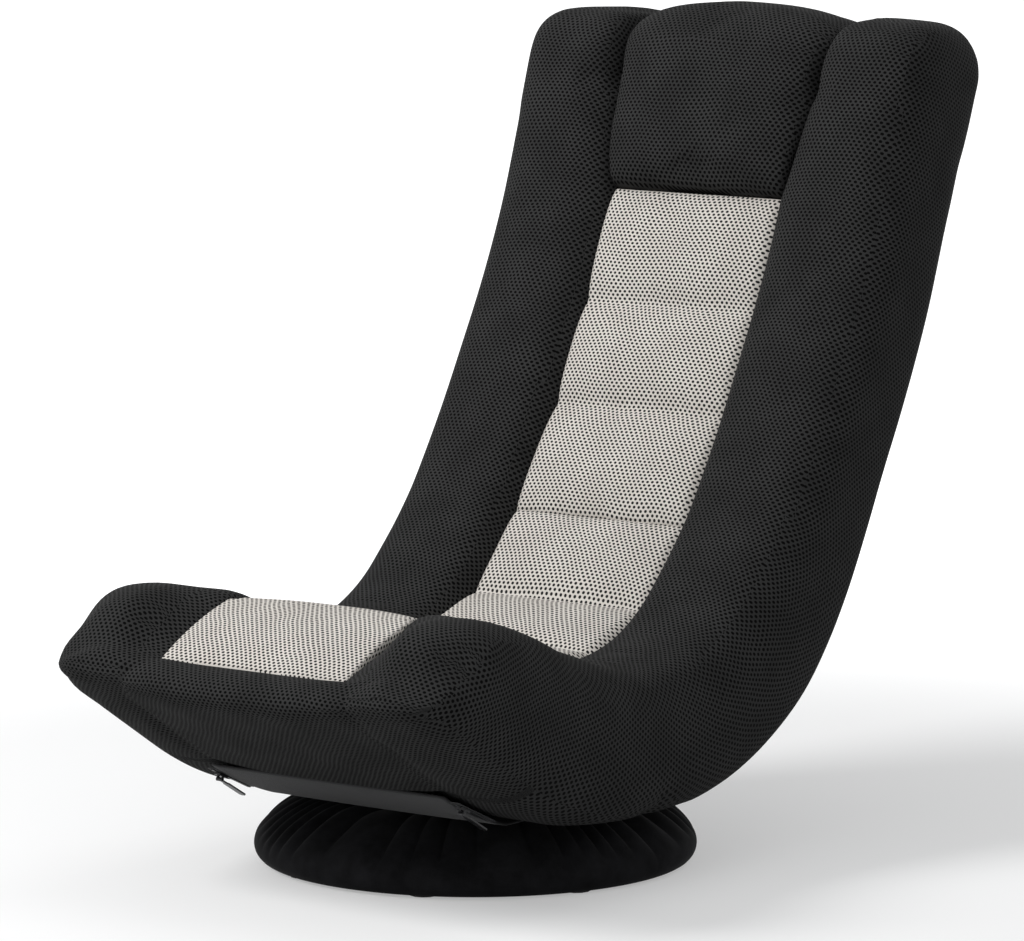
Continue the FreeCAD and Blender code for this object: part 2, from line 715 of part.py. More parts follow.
def make_swivel():
    """Two plates turn on each other over a slippery bearing ring, held by the centre rivet."""
    make_plate("LowerPlate", "swivel_lower_plate", "Sizes.plate_low", "base", "")
    make_plate("UpperPlate", "swivel_upper_plate", upper_low, "seat", " + Sizes.rivet_gap")
    low = size("plate_low") + size("plate_thickness")
    outer = size("bearing_width") / 2
    shaped("swivel_bearing_ring", upright_ring(outer, outer - size("bearing_wall"), low, low + size("bearing_height")))
    shank = primitive("Cylinder", "RivetShank", {"z": "Sizes.plate_low"}, Radius="Sizes.centre_rivet / 2",
                      Height=swivel_high + " - Sizes.plate_low + Sizes.bearing_gap + 1")
    collar = primitive("Prism", "RivetCollar", {"z": bearing_low}, Circumradius="Sizes.centre_rivet / 2 + 4",
                       Height="Sizes.bearing_height", Polygon="Sizes.plate_sides")
    head = primitive("Prism", "RivetHead", {"z": swivel_high + " + Sizes.bearing_gap"},
                     Circumradius="Sizes.centre_rivet / 2 + 4", Height="2", Polygon="Sizes.plate_sides")
    node(fuse_of("CentreRivet", [shank, collar, head]), "swivel_centre_rivet")


# Seat frame, bridges and hinges
def make_bridges():
    """Two hat-shaped bars that carry the seat's rails on the upper swivel disc."""
    rail_under = "(Sizes.rail_height - Sizes.rail_tube / 2)"
    outer = "(Sizes.rail_span / 2 + 14)"
    inner = "(Sizes.rail_span / 2 - 16)"
    thick = "Sizes.bridge_thickness"
    flat = "Sizes.bridge_flat_half"
    points = [("-" + outer, rail_under), ("-" + outer, "%s - %s" % (rail_under, thick)),
              ("-" + inner, "%s - %s" % (rail_under, thick)), ("-" + flat, swivel_high), (flat, swivel_high),
              (inner, "%s - %s" % (rail_under, thick)), (outer, "%s - %s" % (rail_under, thick)),
              (outer, rail_under), ("%s - 2" % inner, rail_under), ("%s - 2" % flat, "%s + %s" % (swivel_high, thick)),
              ("-(%s - 2)" % flat, "%s + %s" % (swivel_high, thick)), ("-(%s - 2)" % inner, rail_under)]
    bars = []
    for name, sign in (("FrontBridge", "-"), ("RearBridge", "")):
        body = doc.addObject("PartDesign::Body", name)
        pad(body, outline_sketch(body, "XZ_Plane", points, name + "Outline"), "Sizes.bridge_width", True, name + "Bar")
        body.setExpression("Placement.Base.y", sign + "Sizes.bridge_spacing / 2")
        holes = []
        for hand in ("-", ""):
            holes.append(primitive("Box", "%sHole" % name, {"x": "%sSizes.seat_bolt_spread / 2 - Sizes.bolt_neck / 2" % hand,
                                                            "y": "%sSizes.bridge_spacing / 2 - Sizes.bolt_neck / 2" % sign,
                                                            "z": swivel_high},
                                   Length="Sizes.bolt_neck", Width="Sizes.bolt_neck", Height="Sizes.bridge_thickness"))
        bars.append(cut_of(name + "Drilled", body, fuse_of(name + "Holes", holes)))
    grouped("seat_bridges", bars)


def seat_frame_route():
    """Centre line of a seat rail from the recline hinge to the front: level over the bridges."""
    front = lead_point(size("nose_length") - size("rail_front"), 13)
    level = size("rail_height")
    knee = side(-size("bridge_spacing") / 2 - size("bridge_width") - 12, level)
    heel = side(size("bridge_spacing") / 2 + size("bridge_width") / 2, level)
    heading = (recline_axis - heel).normalize()
    return [recline_axis - heading * tube_start(), heel, knee, front]


def headings():
    """Directions of the four tubes that meet the hinges, each pointing away from its hinge line."""
    route = seat_frame_route()
    seat = (route[1] - recline_axis).normalize()
    lumbar = (fold_axis - recline_axis).normalize()
    top = back_point(5, size("back_frame_top_angle"))
    back = (top - fold_axis).normalize()
    return {"seat": seat, "lumbar_low": lumbar, "lumbar_top": lumbar * -1, "back": back}


def turned_bar(axis, heading, start, end, width, thickness, x_middle):
    """A flat bar in the side view, from start to end along a heading away from a hinge line."""
    across = rotated(heading, 90) * (width / 2)
    corners = [axis + heading * start - across, axis + heading * end - across, axis + heading * end + across,
               axis + heading * start + across]
    return prism(corners, x_middle - thickness / 2, x_middle + thickness / 2)


def spigot(axis, heading, x_middle):
    """The stub that plugs into a square tube's end."""
    width = size("rail_tube") - 2 * size("rail_wall") - 0.1
    start = tube_start() - 0.5
    return turned_bar(axis, heading, start, start + size("spigot_length"), width, width, x_middle)


def x_cylinder(axis, radius, x_low, x_high):
    return Part.makeCylinder(radius, x_high - x_low, at_x(axis, x_low), ACROSS)


def many_sided(axis, radius, x_low, x_high):
    """A disc cut as a many-sided plate whose flats touch the circle of this radius."""
    count = int(size("plate_sides"))
    reach = radius / math.cos(math.pi / count)
    corners = [axis + rotated(side(0, 1), 360 * (i + 0.5) / count) * reach for i in range(count)]
    return prism(corners, x_low, x_high)


def pawl_place(axis, heading, turn_sign):
    """Pin of the pawl: on the rear side of the housing, clear outside the teeth."""
    return axis + rotated(heading, 62 * turn_sign) * (size("tooth_tip") + 5)


def hinge_housing(axis, heading, turn_sign, x_middle):
    """Two cheeks joined by a web, with a spigot for the tube and a pin for the pawl."""
    slot = size("arm_thickness") / 2 + size("hinge_side_gap")
    outer = slot + size("cheek_thickness")
    whole = many_sided(axis, size("hinge_radius") - 1, x_middle - outer, x_middle + outer)
    arm = turned_bar(axis, heading, 0, size("hinge_radius") + 8, size("arm_width"), 2 * outer, x_middle)
    space = many_sided(axis, size("hinge_radius") + 1, x_middle - slot, x_middle + slot)
    web_start = size("tooth_tip") + 2.5
    web = turned_bar(axis, heading, web_start, size("hinge_radius") + 8, size("arm_width"), 2 * slot, x_middle)
    body = whole.fuse([arm]).cut(space).fuse([web, spigot(axis, heading, x_middle)])
    pin = pawl_place(axis, heading, turn_sign)
    body = body.fuse([x_cylinder(pin, 2, x_middle - slot, x_middle + slot)])
    bore = x_cylinder(axis, size("rivet_diameter") / 2, x_middle - outer - 1, x_middle + outer + 1)
    return one_solid(body.cut(bore).removeSplitter())


def toothed_arm(axis, heading, x_middle):
    """The arm that turns between the cheeks, with ratchet teeth round its end and a spigot for its tube."""
    half = size("arm_thickness") / 2
    count = int(size("teeth"))
    points = []
    for i in range(count):
        tip = rotated(side(0, 1), 360 * i / count)
        root = rotated(side(0, 1), 360 * (i + 0.25) / count)
        points.append(axis + tip * size("tooth_tip"))
        points.append(axis + root * size("tooth_root"))
    wheel = prism(points, x_middle - half, x_middle + half)
    slot = half + size("hinge_side_gap")
    neck = turned_bar(axis, heading, 0, size("hinge_radius") + 8, size("arm_width"), 2 * half, x_middle)
    block = turned_bar(axis, heading, size("hinge_radius") + 1, size("hinge_radius") + 8, size("arm_width"),
                       2 * slot + 2 * size("cheek_thickness"), x_middle)
    body = wheel.fuse([neck, block, spigot(axis, heading, x_middle)])
    bore = x_cylinder(axis, size("rivet_diameter") / 2 + size("rivet_gap"), x_middle - half - 1, x_middle + half + 1)
    return one_solid(body.cut(bore).removeSplitter())


def pivot_rivet(axis, x_middle):
    outer = size("arm_thickness") / 2 + size("hinge_side_gap") + size("cheek_thickness")
    radius = size("rivet_diameter") / 2
    shank = x_cylinder(axis, radius, x_middle - outer - 2, x_middle + outer + 2)
    heads = [many_sided(axis, radius + 3, x_middle - outer - 2, x_middle - outer),
             many_sided(axis, radius + 3, x_middle + outer, x_middle + outer + 2)]
    return shank.fuse(heads).removeSplitter()


def pawl(axis, heading, turn_sign, x_middle):
    """A small pawl on its pin, standing just clear of the teeth."""
    half = size("arm_thickness") / 2
    pin = pawl_place(axis, heading, turn_sign)
    clear = size("tooth_tip") + 0.4
    nose = axis + rotated(heading, 92 * turn_sign) * clear
    heel = axis + rotated(heading, 92 * turn_sign) * (clear + 4)
    neck = axis + rotated(heading, 70 * turn_sign) * (clear + 9)
    root = axis + rotated(heading, 66 * turn_sign) * (clear + 2)
    blade = prism([nose, heel, neck, root], x_middle - half, x_middle + half)
    eye = many_sided(pin, 3.8, x_middle - half, x_middle + half)
    wheel_room = many_sided(axis, clear, x_middle - half - 1, x_middle + half + 1)
    bore = x_cylinder(pin, 2.05, x_middle - half - 1, x_middle + half + 1)
    return one_solid(blade.fuse([eye]).cut(wheel_room).cut(bore).removeSplitter())


def make_hinges():
    """Both hinge lines have the same hardware on each side."""
    away = headings()
    sets = (("recline", recline_axis, away["seat"], away["lumbar_low"]),
            ("fold", fold_axis, away["lumbar_top"], away["back"]))
    for line, axis, housing_heading, arm_heading in sets:
        pawl_side = 1
        both = (rail_x, -rail_x)
        shaped("%s_housings" % line, Part.makeCompound([hinge_housing(axis, housing_heading, pawl_side, x) for x in both]))
        shaped("%s_toothed_arms" % line, Part.makeCompound([toothed_arm(axis, arm_heading, x) for x in both]))
        shaped("%s_pawls" % line, Part.makeCompound([pawl(axis, housing_heading, pawl_side, x) for x in both]))
        print(line, "pawl pin", pawl_place(axis, housing_heading, pawl_side))
        shaped("%s_pivot_rivets" % line, Part.makeCompound([pivot_rivet(axis, x) for x in (rail_x, -rail_x)]))


def tube_start():
    return size("hinge_radius") + 8


def lumbar_tube_route():
    along = (fold_axis - recline_axis).normalize()
    return [recline_axis + along * tube_start(), fold_axis - along * tube_start()]


def back_frame_route():
    """Centre line of a back rail from the fold hinge to the top cross run."""
    away = headings()["back"]
    top = back_point(5, size("back_frame_top_angle"))
    crown = top + turned(size("back_frame_top_angle")) * size("back_frame_rise")
    return [fold_axis + away * tube_start(), top, crown]


def cross_places():
    """Where the straight cross tubes stand, and how they lean: seat rear, lumbar middle and lower back."""
    routes = {"seat": seat_frame_route()[:2], "lumbar": lumbar_tube_route(), "back": back_frame_route()[:2]}
    places = {}
    for part, (first, second) in routes.items():
        run = (second - first).normalize()
        places[part] = (first + (second - first) * size(part + "_cross_share"), math.degrees(math.atan2(run.z, run.y)))
    return places


def make_frame():
    wall = size("rail_wall")
    outside = size("rail_tube")
    for part, route, lean in (("seat", seat_frame_route(), size("lead_angle")),
                              ("back", back_frame_route(), size("back_frame_top_angle"))):
        outer = frame_hoop(route, lean, outside, 0)
        inner = frame_hoop(route, lean, outside - 2 * wall, wall)
        shaped(part + "_frame_tube", one_solid(outer.cut(inner)))
    for hand, x in (("left", rail_x), ("right", -rail_x)):
        outer = bent_bar(lumbar_tube_route(), 0, outside, x - outside / 2, x + outside / 2)
        inner = bent_bar(lumbar_tube_route(), 0, outside - 2 * wall, x - outside / 2 + wall, x + outside / 2 - wall)
        shaped("lumbar_tube_" + hand, one_solid(outer.cut(inner)))
    reach = rail_x - outside / 2
    for part, (place, lean) in cross_places().items():
        outer = square_bar(place, lean, size("cross_tube"), -reach, reach)
        inner = square_bar(place, lean, size("cross_tube") - 2 * wall, -reach, reach)
        shaped(part + "_cross_tube", one_solid(outer.cut(inner)))


def hinge_room():
    """Round pockets in the foam for the hinge hardware of each line."""
    cheeks = size("arm_thickness") / 2 + size("hinge_side_gap") + size("cheek_thickness") + 3
    pockets = {}
    for line, axis in (("recline", recline_axis), ("fold", fold_axis)):
        pockets[line] = [many_sided(axis, size("hinge_radius") + 2, x - cheeks, x + cheeks) for x in (rail_x, -rail_x)]
    return pockets


def frame_room():
    """The room that the foam leaves for tubes, hinges, bridges and bolts, per body."""
    wide = size("rail_tube") + 2 * size("tube_gap")
    more = 2 * size("tube_gap")
    pockets = hinge_room()
    hinges = pockets["recline"] + pockets["fold"]
    reach = tube_start()
    lumbar = [recline_axis, fold_axis]
    room = {
        "seat": [frame_hoop(stretched(seat_frame_route(), reach), size("lead_angle"), wide, -size("tube_gap"))],
        "lumbar": [bent_bar(lumbar, 0, wide, x - wide / 2, x + wide / 2) for x in (rail_x, -rail_x)],
        "back": [frame_hoop(stretched(back_frame_route(), reach), size("back_frame_top_angle"), wide,
                            -size("tube_gap"))],
    }
    for part, (place, lean) in cross_places().items():
        room[part].append(square_bar(place, lean, size("cross_tube") + more, -rail_x, rail_x))
        room[part] += hinges
    room["seat"] += bridge_room()
    return room


def bridge_room():
    """Slots for the two bridges and a recess over the swivel plate."""
    high = size("rail_height") - size("rail_tube") / 2
    low = swivel_top()
    outer = rail_x + 14 + gap
    inner = rail_x - 16
    flat = size("bridge_flat_half")
    thick = size("bridge_thickness")
    tools = []
    for y in (-size("bridge_spacing") / 2, size("bridge_spacing") / 2):
        outline = [(-outer, high + gap), (-outer, high - thick - gap), (-inner, high - thick - gap),
                   (-flat - 1, low - 9), (flat + 1, low - 9), (inner, high - thick - gap), (outer, high - thick - gap),
                   (outer, high + gap), (inner - 2.6, high + gap), (flat - 2, low + thick + 9),
                   (2 - flat, low + thick + 9), (2.6 - inner, high + gap)]
        y_low = y - size("bridge_width") / 2 - gap
        points = [FreeCAD.Vector(x, y_low, z) for x, z in outline]
        face = Part.Face(Part.makePolygon(points + [points[0]]))
        tools.append(face.extrude(FreeCAD.Vector(0, size("bridge_width") + 2 * gap, 0)))
    radius = size("plate_side") / 2 + 4
    recess = Part.makeBox(2 * radius, 2 * radius, 13, FreeCAD.Vector(-radius, -radius, size("seat_underside") - 1))
    return tools + [recess]


def square_necked_bolt(x, y, low, high):
    """A bolt whose square neck goes from low to its nut's seat at high, with the hexagon nut on top."""
    half = size("bolt_neck") / 2
    neck = Part.makeBox(2 * half, 2 * half, high - low, FreeCAD.Vector(x - half, y - half, low))
    corners = [FreeCAD.Vector(x + (half + 3) * math.cos(math.pi / 3 * k), y + (half + 3) * math.sin(math.pi / 3 * k),
                              high) for k in range(7)]
    nut = Part.Face(Part.makePolygon(corners)).extrude(FreeCAD.Vector(0, 0, 2.5))
    return neck.fuse([nut]).removeSplitter()


def make_bolts():
    """Bolts hold the lower plate to the arches and the bridges to the upper plate."""
    low = size("plate_low")
    top = swivel_top()
    base = [square_necked_bolt(x, y, low, low + size("plate_thickness")) for x, y in bolt_places("base")]
    seat = [square_necked_bolt(x, y, top - size("plate_thickness"), top + size("bridge_thickness"))
            for x, y in bolt_places("seat")]
    shaped("swivel_base_bolts", Part.makeCompound(base))
    shaped("swivel_seat_bolts", Part.makeCompound(seat))


# Cushions
def bolster_outline(x_in):
    return ([(x_in, -pad_half), (half_width, -pad_half), (half_width, pad_half), (x_in, pad_half)],
            [size("inner_rounding"), size("outer_rounding"), size("outer_rounding"), 0])


def band_outline(half, low, high):
    return [(-half, low), (half, low), (half, high), (-half, high)], [0, 0, 0, 0]


def seam_points():
    """Seams of the pale strip from the nose's lower edge to the head, in the side view."""
    depth = -size("seam_depth")
    back_depth = -size("back_seam_depth")
    pitch_angle = math.degrees(size("seat_pitch") / (size("bend_radius") + depth))
    first = size("bend_seam_angle")
    over_hinge = bend_point(-size("bend_seam_depth"), first)
    seat = [lead_point(size("nose_length") - size("strip_front"), size("strip_front_depth") - gap),
            lead_point(size("nose_length") - size("front_seam"), -size("front_seam_depth"))]
    seat += [bend_point(depth, first - k * pitch_angle) for k in (3, 2, 1)] + [over_hinge]
    back_angle = math.degrees(size("back_pitch") / (size("bend_radius") + back_depth))
    back = [over_hinge, bend_point(back_depth, first + back_angle)]
    top = head_point(-size("head_low_front"), size("back_seam_depth"))
    start = back[-1]
    count = 3
    for k in range(1, count):
        share = k / count
        chord = start + (top - start) * share
        bulge = (chord - start).Length * (top - chord).Length / (2 * size("back_radius"))
        sag = rotated((top - start).normalize(), -90) * (bulge + 6 * math.sin(math.pi * share))
        back.append(chord + sag)
    back.append(top)
    return seat, back


def channel_wire(seams, crown, x):
    """Channels bulging between seams, each bulge in a few short chords."""
    chords = int(size("channel_chords"))
    points = [at_x(seams[0], x)]
    for first, second in zip(seams[:-1], seams[1:]):
        outward = rotated((second - first).normalize(), 90)
        for k in range(1, chords + 1):
            share = k / chords
            points.append(at_x(first + (second - first) * share + outward * (crown * 4 * share * (1 - share)), x))
    return points


def channel_solid(seams, behind):
    """The strip's channels: full crown in the middle, drawn in towards its sides."""
    half = strip_half - gap / 2
    stations = [(-half, size("edge_crown")), (-half + size("edge_draw"), size("channel_crown")),
                (half - size("edge_draw"), size("channel_crown")), (half, size("edge_crown"))]
    wires = []
    for x, crown in stations:
        wires.append(channel_wire(seams, crown, x) + [at_x(p, x) for p in behind])
    return skinned(wires)


def make_bolsters(part, region, room, extra=None):
    outline, radii = bolster_outline(strip_half + gap / 2)
    whole = pad_sweep(outline, radii).common(region)
    if extra:
        whole = extra(whole)
    left = one_solid(whole.cut(room).removeSplitter())
    shaped(part + "_bolster_left", left)
    shaped(part + "_bolster_right", mirrored(left))


def make_core(part, region, room, extra=None):
    outline, radii = band_outline(strip_half - gap / 2, -size("strip_back"), pad_half)
    whole = pad_sweep(outline, radii).common(region)
    if extra:
        whole = extra(whole)
    shaped(part + "_core_foam", one_solid(whole.cut(room).removeSplitter()))


def strip_band():
    """The layer that the pale strip fills, from its back outwards."""
    outline, radii = band_outline(strip_half, -pad_half - 40, -size("strip_back") - gap)
    return pad_sweep(outline, radii)


def core_front():
    return size("nose_length") - size("core_set")


def boxing_space(clear):
    """Side view of the front boxing: the nose's lower front and the sole under it, as far as the underside panel."""
    back = size("nose_length") - size("boxing_length") - clear
    top = size("strip_front_depth") - clear
    sole = pad_half - size("boxing_sole") - clear
    tail = -size("boxing_underlap") - clear
    return prism([lead_point(back, top), lead_point(FAR, top), lead_point(FAR, FAR), lead_point(tail, FAR),
                  lead_point(tail, sole), lead_point(back, sole)], -FAR, FAR)


def make_front_boxing(room):
    """Boxing over the full width of the nose, round its lower edge and its corners."""
    outer = size("outer_rounding")
    outline = [(-half_width, -pad_half), (half_width, -pad_half), (half_width, pad_half), (-half_width, pad_half)]
    whole = pad_sweep(outline, [outer, outer, outer, outer]).common(nose_profile(size("nose_length")))
    whole = whole.common(nose_plan()).common(boxing_space(0))
    shaped("seat_front_boxing", one_solid(whole.cut(room).removeSplitter()))


def behind_of(forward):
    points = [lead_point(forward, -FAR), lead_point(-FAR, -FAR), lead_point(-FAR, FAR), lead_point(forward, FAR)]
    return prism(points, -FAR, FAR)


def make_seat_cushions(room):
    region = seat_region(gap / 2)
    floor_cut = above_floor_line(size("seat_underside"))

    def shape_bolster(whole):
        cut = whole.common(nose_profile(size("nose_length"))).common(nose_plan()).common(floor_cut)
        return cut.cut(boxing_space(gap))

    def shape_core(whole):
        return whole.common(behind_of(core_front())).common(floor_cut).cut(boxing_space(gap))

    make_bolsters("seat", region, room, shape_bolster)
    make_core("seat", region, room, shape_core)
    seat, back = seam_points()
    start = core_front() + gap
    low = size("strip_front_depth") - gap
    behind = [bend_point(0, size("bend_seam_angle") + 30), bend_point(0, 0), lead_point(0, 0), lead_point(start, 0),
              lead_point(start, low)]
    channels = channel_solid(seat + [bend_point(-size("bend_seam_depth") - 4, size("bend_seam_angle") + 30)], behind)
    rear = strip_band().common(behind_of(start))
    nose = prism([lead_point(start, -FAR), lead_point(FAR, -FAR), lead_point(FAR, low), lead_point(start, low)],
                 -strip_half, strip_half)
    layer = rear.fuse([nose])
    panel = channels.common(layer).common(region).cut(room)
    shaped("seat_channel_panel", one_solid(panel.removeSplitter()))
    make_front_boxing(room)


def make_lumbar_cushions(room):
    region = lumbar_region(gap / 2)
    make_bolsters("lumbar", region, room)
    make_core("lumbar", region, room)
    seat, back = seam_points()
    early = bend_point(-size("bend_seam_depth") - 4, size("bend_seam_angle") - 20)
    behind = [bend_point(0, size("bend_end_angle") + 10), bend_point(0, size("bend_seam_angle") - 20)]
    channels = channel_solid([early] + back[:3], behind)
    layer = strip_band()
    shaped("lumbar_channel_panel", one_solid(channels.common(layer).common(region).cut(room).removeSplitter()))


def make_back_cushions(room):
    region = back_region(gap / 2).common(below_head(gap))
    make_bolsters("back", region, room)
    make_core("back", region, room)
    seat, back = seam_points()
    behind = [head_point(0, 0), back_point(0, size("bend_end_angle") + 4), bend_point(0, size("bend_seam_angle") + 14)]
    channels = channel_solid(back[1:], behind)
    layer = strip_band()
    shaped("back_channel_panel", one_solid(channels.common(layer).common(region).cut(room).removeSplitter()))


def head_section(rise, x_in, x_out, front, rear, radii):
    points = [at_x(head_point(rise, front), x_in), at_x(head_point(rise, front), x_out),
              at_x(head_point(rise, -rear), x_out), at_x(head_point(rise, -rear), x_in)]
    return soft_corners(points, radii)


def make_head_cushions(room):
    """Head cushion: two bolsters and a crowned centre pad that widens upwards."""
    front = size("head_front")
    rear = size("head_rear")
    low = -size("head_low_front") - 20
    high = size("head_top_rear") + 20
    seam_low = strip_half + gap / 2
    seam_high = size("head_pad_top") / 2 + gap / 2
    radii = [size("inner_rounding"), size("outer_rounding"), size("outer_rounding"), 0]
    bolster = skinned([head_section(low, seam_low, half_width, front, rear, radii),
                       head_section(high, seam_high, half_width, front, rear, radii)])
    profile_points = [head_point(-size("head_low_front"), pad_half), head_point(-size("head_low_front"), front - 8),
                      head_point(size("head_top_front"), front + 3),
                      head_point(size("head_top_rear"), -rear - 1), head_point(size("head_low_rear"), -rear - 1)]
    side_view = prism(profile_points, -half_width - 1, half_width + 1, [0, 18, 44, 30, 0])
    outline = [(-half_width, low - 60), (half_width, low - 60), (half_width, size("head_top_rear") - 6),
               (-half_width, size("head_top_rear") - 6)]
    points = [at_x(head_point(rise, -FAR / 2), x) for x, rise in outline]
    front_view = rounded_face(points, [0, 0, size("head_corner"), size("head_corner")])
    front_view = front_view.extrude(inward(size("head_angle")) * FAR)
    left = one_solid(bolster.common(side_view).common(front_view).cut(room).removeSplitter())
    shaped("head_bolster_left", left)
    shaped("head_bolster_right", mirrored(left))

    def pad_wire(rise, half):
        corners = [at_x(head_point(rise, front - 10), -half), at_x(head_point(rise, front - 10), half),
                   at_x(head_point(rise, -rear), half), at_x(head_point(rise, -rear), -half)]
        crown = []
        for share in (1 / 6, 1 / 3, 2 / 3, 5 / 6):
            lift = (size("head_crown") + 10) * 4 * share * (1 - share)
            crown.append(at_x(head_point(rise, front - 10 + lift), half * (2 * share - 1)))
        outline = corners[:1] + crown + corners[1:]
        return outline

    centre = skinned([pad_wire(low, strip_half - gap / 2), pad_wire(high, size("head_pad_top") / 2 - gap / 2)])
    pad_points = list(profile_points)
    pad_points[1] = head_point(-size("head_low_front"), front - 4)
    pad_points[2] = head_point(size("head_top_front"), front + size("head_crown") + 2)
    pad_view = prism(pad_points, -half_width, half_width, [0, 24, 50, 30, 0])
    shaped("head_centre_pad", one_solid(centre.common(pad_view).cut(room).removeSplitter()))


def full_outline():
    """Cross-section over the whole width, with the strip lying lower than the bolsters."""
    low = -size("bend_seam_depth")
    return ([(-half_width, -pad_half), (-strip_half - 14, -pad_half), (-strip_half + 2, low), (strip_half - 2, low),
             (strip_half + 14, -pad_half), (half_width, -pad_half), (half_width, pad_half), (-half_width, pad_half)],
            [size("outer_rounding"), size("inner_rounding") / 2, 0, 0, size("inner_rounding") / 2,
             size("outer_rounding"), size("outer_rounding"), size("outer_rounding")])


def wedge_between(axis, half_angle, sitter_side):
    """The wedge of bending foam at a hinge line, on the sitter's side or the rear."""
    middle = to_centre(axis) * (1 if sitter_side else -1)
    start = 2 * gap / math.tan(math.radians(half_angle)) + 1
    first = rotated(middle, half_angle)
    second = rotated(middle, -half_angle)
    inset_first = rotated(first, -90) * (2 * gap)
    inset_second = rotated(second, 90) * (2 * gap)
    return prism([axis + inset_first + first * start, axis + inset_first + first * size("wedge_reach"),
                  axis + inset_second + second * size("wedge_reach"), axis + inset_second + second * start], -FAR, FAR)


def make_bend_foams(hinge_room):
    """Soft foam that fills the wedge gaps at the two hinge lines and deforms as they turn."""
    outline, radii = full_outline()
    sweep = pad_sweep(outline, radii)
    wedges = {"recline": [wedge_between(recline_axis, RECLINE_FRONT, True),
                          wedge_between(recline_axis, RECLINE_REAR, False)],
              "fold": [wedge_between(fold_axis, FOLD_FRONT, True)]}
    for line, pieces in wedges.items():
        solids = []
        for piece in pieces:
            solids += sweep.common(piece).cut(hinge_room[line]).removeSplitter().Solids
        shaped(line + "_bend_foam", Part.makeCompound(solids))


# Fabric panels, zips and pulls
def layer_between(half, low, high):
    outline, radii = band_outline(half, low, high)
    return pad_sweep(outline, radii)


def make_panels():
    half = size("underside_width") / 2
    inner = pad_half + gap
    outer = inner + size("fabric")
    region = seat_region(6).common(behind_of(size("underside_front")))
    skin = layer_between(half, 40, outer).common(region)
    skin = skin.common(above_floor_line(size("seat_underside") - gap - size("fabric")))
    foam = layer_between(half + 5, 20, inner)
    foam = foam.common(above_floor_line(size("seat_underside") - gap))
    rim = star_ring(size("base_opening") / 2, 0, 0, int(size("ring_sides")))
    hole = Part.Face(Part.makePolygon(rim + rim[:1])).extrude(FreeCAD.Vector(0, 0, FAR))
    shaped("seat_underside_panel", one_solid(skin.cut(foam).cut(hole).removeSplitter()))
    wide = size("rear_panel_width") / 2
    back_skin = layer_between(wide, inner, outer).common(rear_panel_region())
    shaped("back_rear_panel", one_solid(back_skin.removeSplitter()))


def rear_panel_region():
    """From just above the rear zip to just under the head."""
    angle = size("rear_zip_angle")
    base = back_point(0, angle) + turned(angle) * (size("zip_width") / 2 + gap)
    across = inward(angle)
    top = head_point(size("head_low_rear") - 6, 0)
    return prism([base - across * FAR, base + across * FAR, top + across * FAR, top - across * FAR], -FAR, FAR)


def zip_bar(origin, along, outward, length):
    """A zip: two tapes with a raised row of teeth, lying on the fabric."""
    width = size("zip_width")
    thick = size("zip_thickness")
    side_way = along.cross(outward).normalize()
    corners = [origin - side_way * (width / 2), origin + side_way * (width / 2),
               origin + side_way * (width / 2) + along * length, origin - side_way * (width / 2) + along * length]
    tape = Part.Face(Part.makePolygon(corners + corners[:1])).extrude(outward * (thick / 2))
    row = [origin - side_way * 2, origin + side_way * 2, origin + side_way * 2 + along * length,
           origin - side_way * 2 + along * length]
    teeth = Part.Face(Part.makePolygon(row + row[:1])).extrude(outward * thick)
    return tape.fuse([teeth]).removeSplitter()


def zip_slider(place, along, outward):
    """Slider body astride the teeth of a zip that runs along one direction, with ears and a pin across the chair."""
    side_way = along.cross(outward).normalize()
    lean = outward.cross(ACROSS).normalize()
    lift = size("zip_thickness") + 0.3
    base = place + outward * lift
    corners = [base - along * 7 - side_way * 4, base + along * 7 - side_way * 4, base + along * 7 + side_way * 4,
               base - along * 7 + side_way * 4]
    block = Part.Face(Part.makePolygon(corners + corners[:1])).extrude(outward * 2)
    legs = []
    for sign in (-1, 1):
        foot = base + side_way * (sign * 3.1) - outward * (size("zip_thickness") / 2)
        corners = [foot - along * 7 - side_way * 0.6, foot + along * 7 - side_way * 0.6,
                   foot + along * 7 + side_way * 0.6, foot - along * 7 + side_way * 0.6]
        legs.append(Part.Face(Part.makePolygon(corners + corners[:1])).extrude(outward * (size("zip_thickness") / 2 + 1)))
    pin = base + outward * 5
    ears = []
    for sign in (-1, 1):
        ear = at_x(pin, pin.x + sign * 3.2 - 0.6)
        ears.append(many_sided(side(ear.y, ear.z), 1.9, ear.x, ear.x + 1.2))
        stem = pin + ACROSS * (sign * 3.2)
        corners = [stem - lean * 1.6 - ACROSS * 0.6, stem + lean * 1.6 - ACROSS * 0.6,
                   stem + lean * 1.6 + ACROSS * 0.6, stem - lean * 1.6 + ACROSS * 0.6]
        ears.append(Part.Face(Part.makePolygon(corners + corners[:1])).extrude(outward * -4))
    bar = Part.makeCylinder(0.9, 6.4, pin - ACROSS * 3.2, ACROSS)
    return block.fuse(legs + ears + [bar]).removeSplitter(), pin


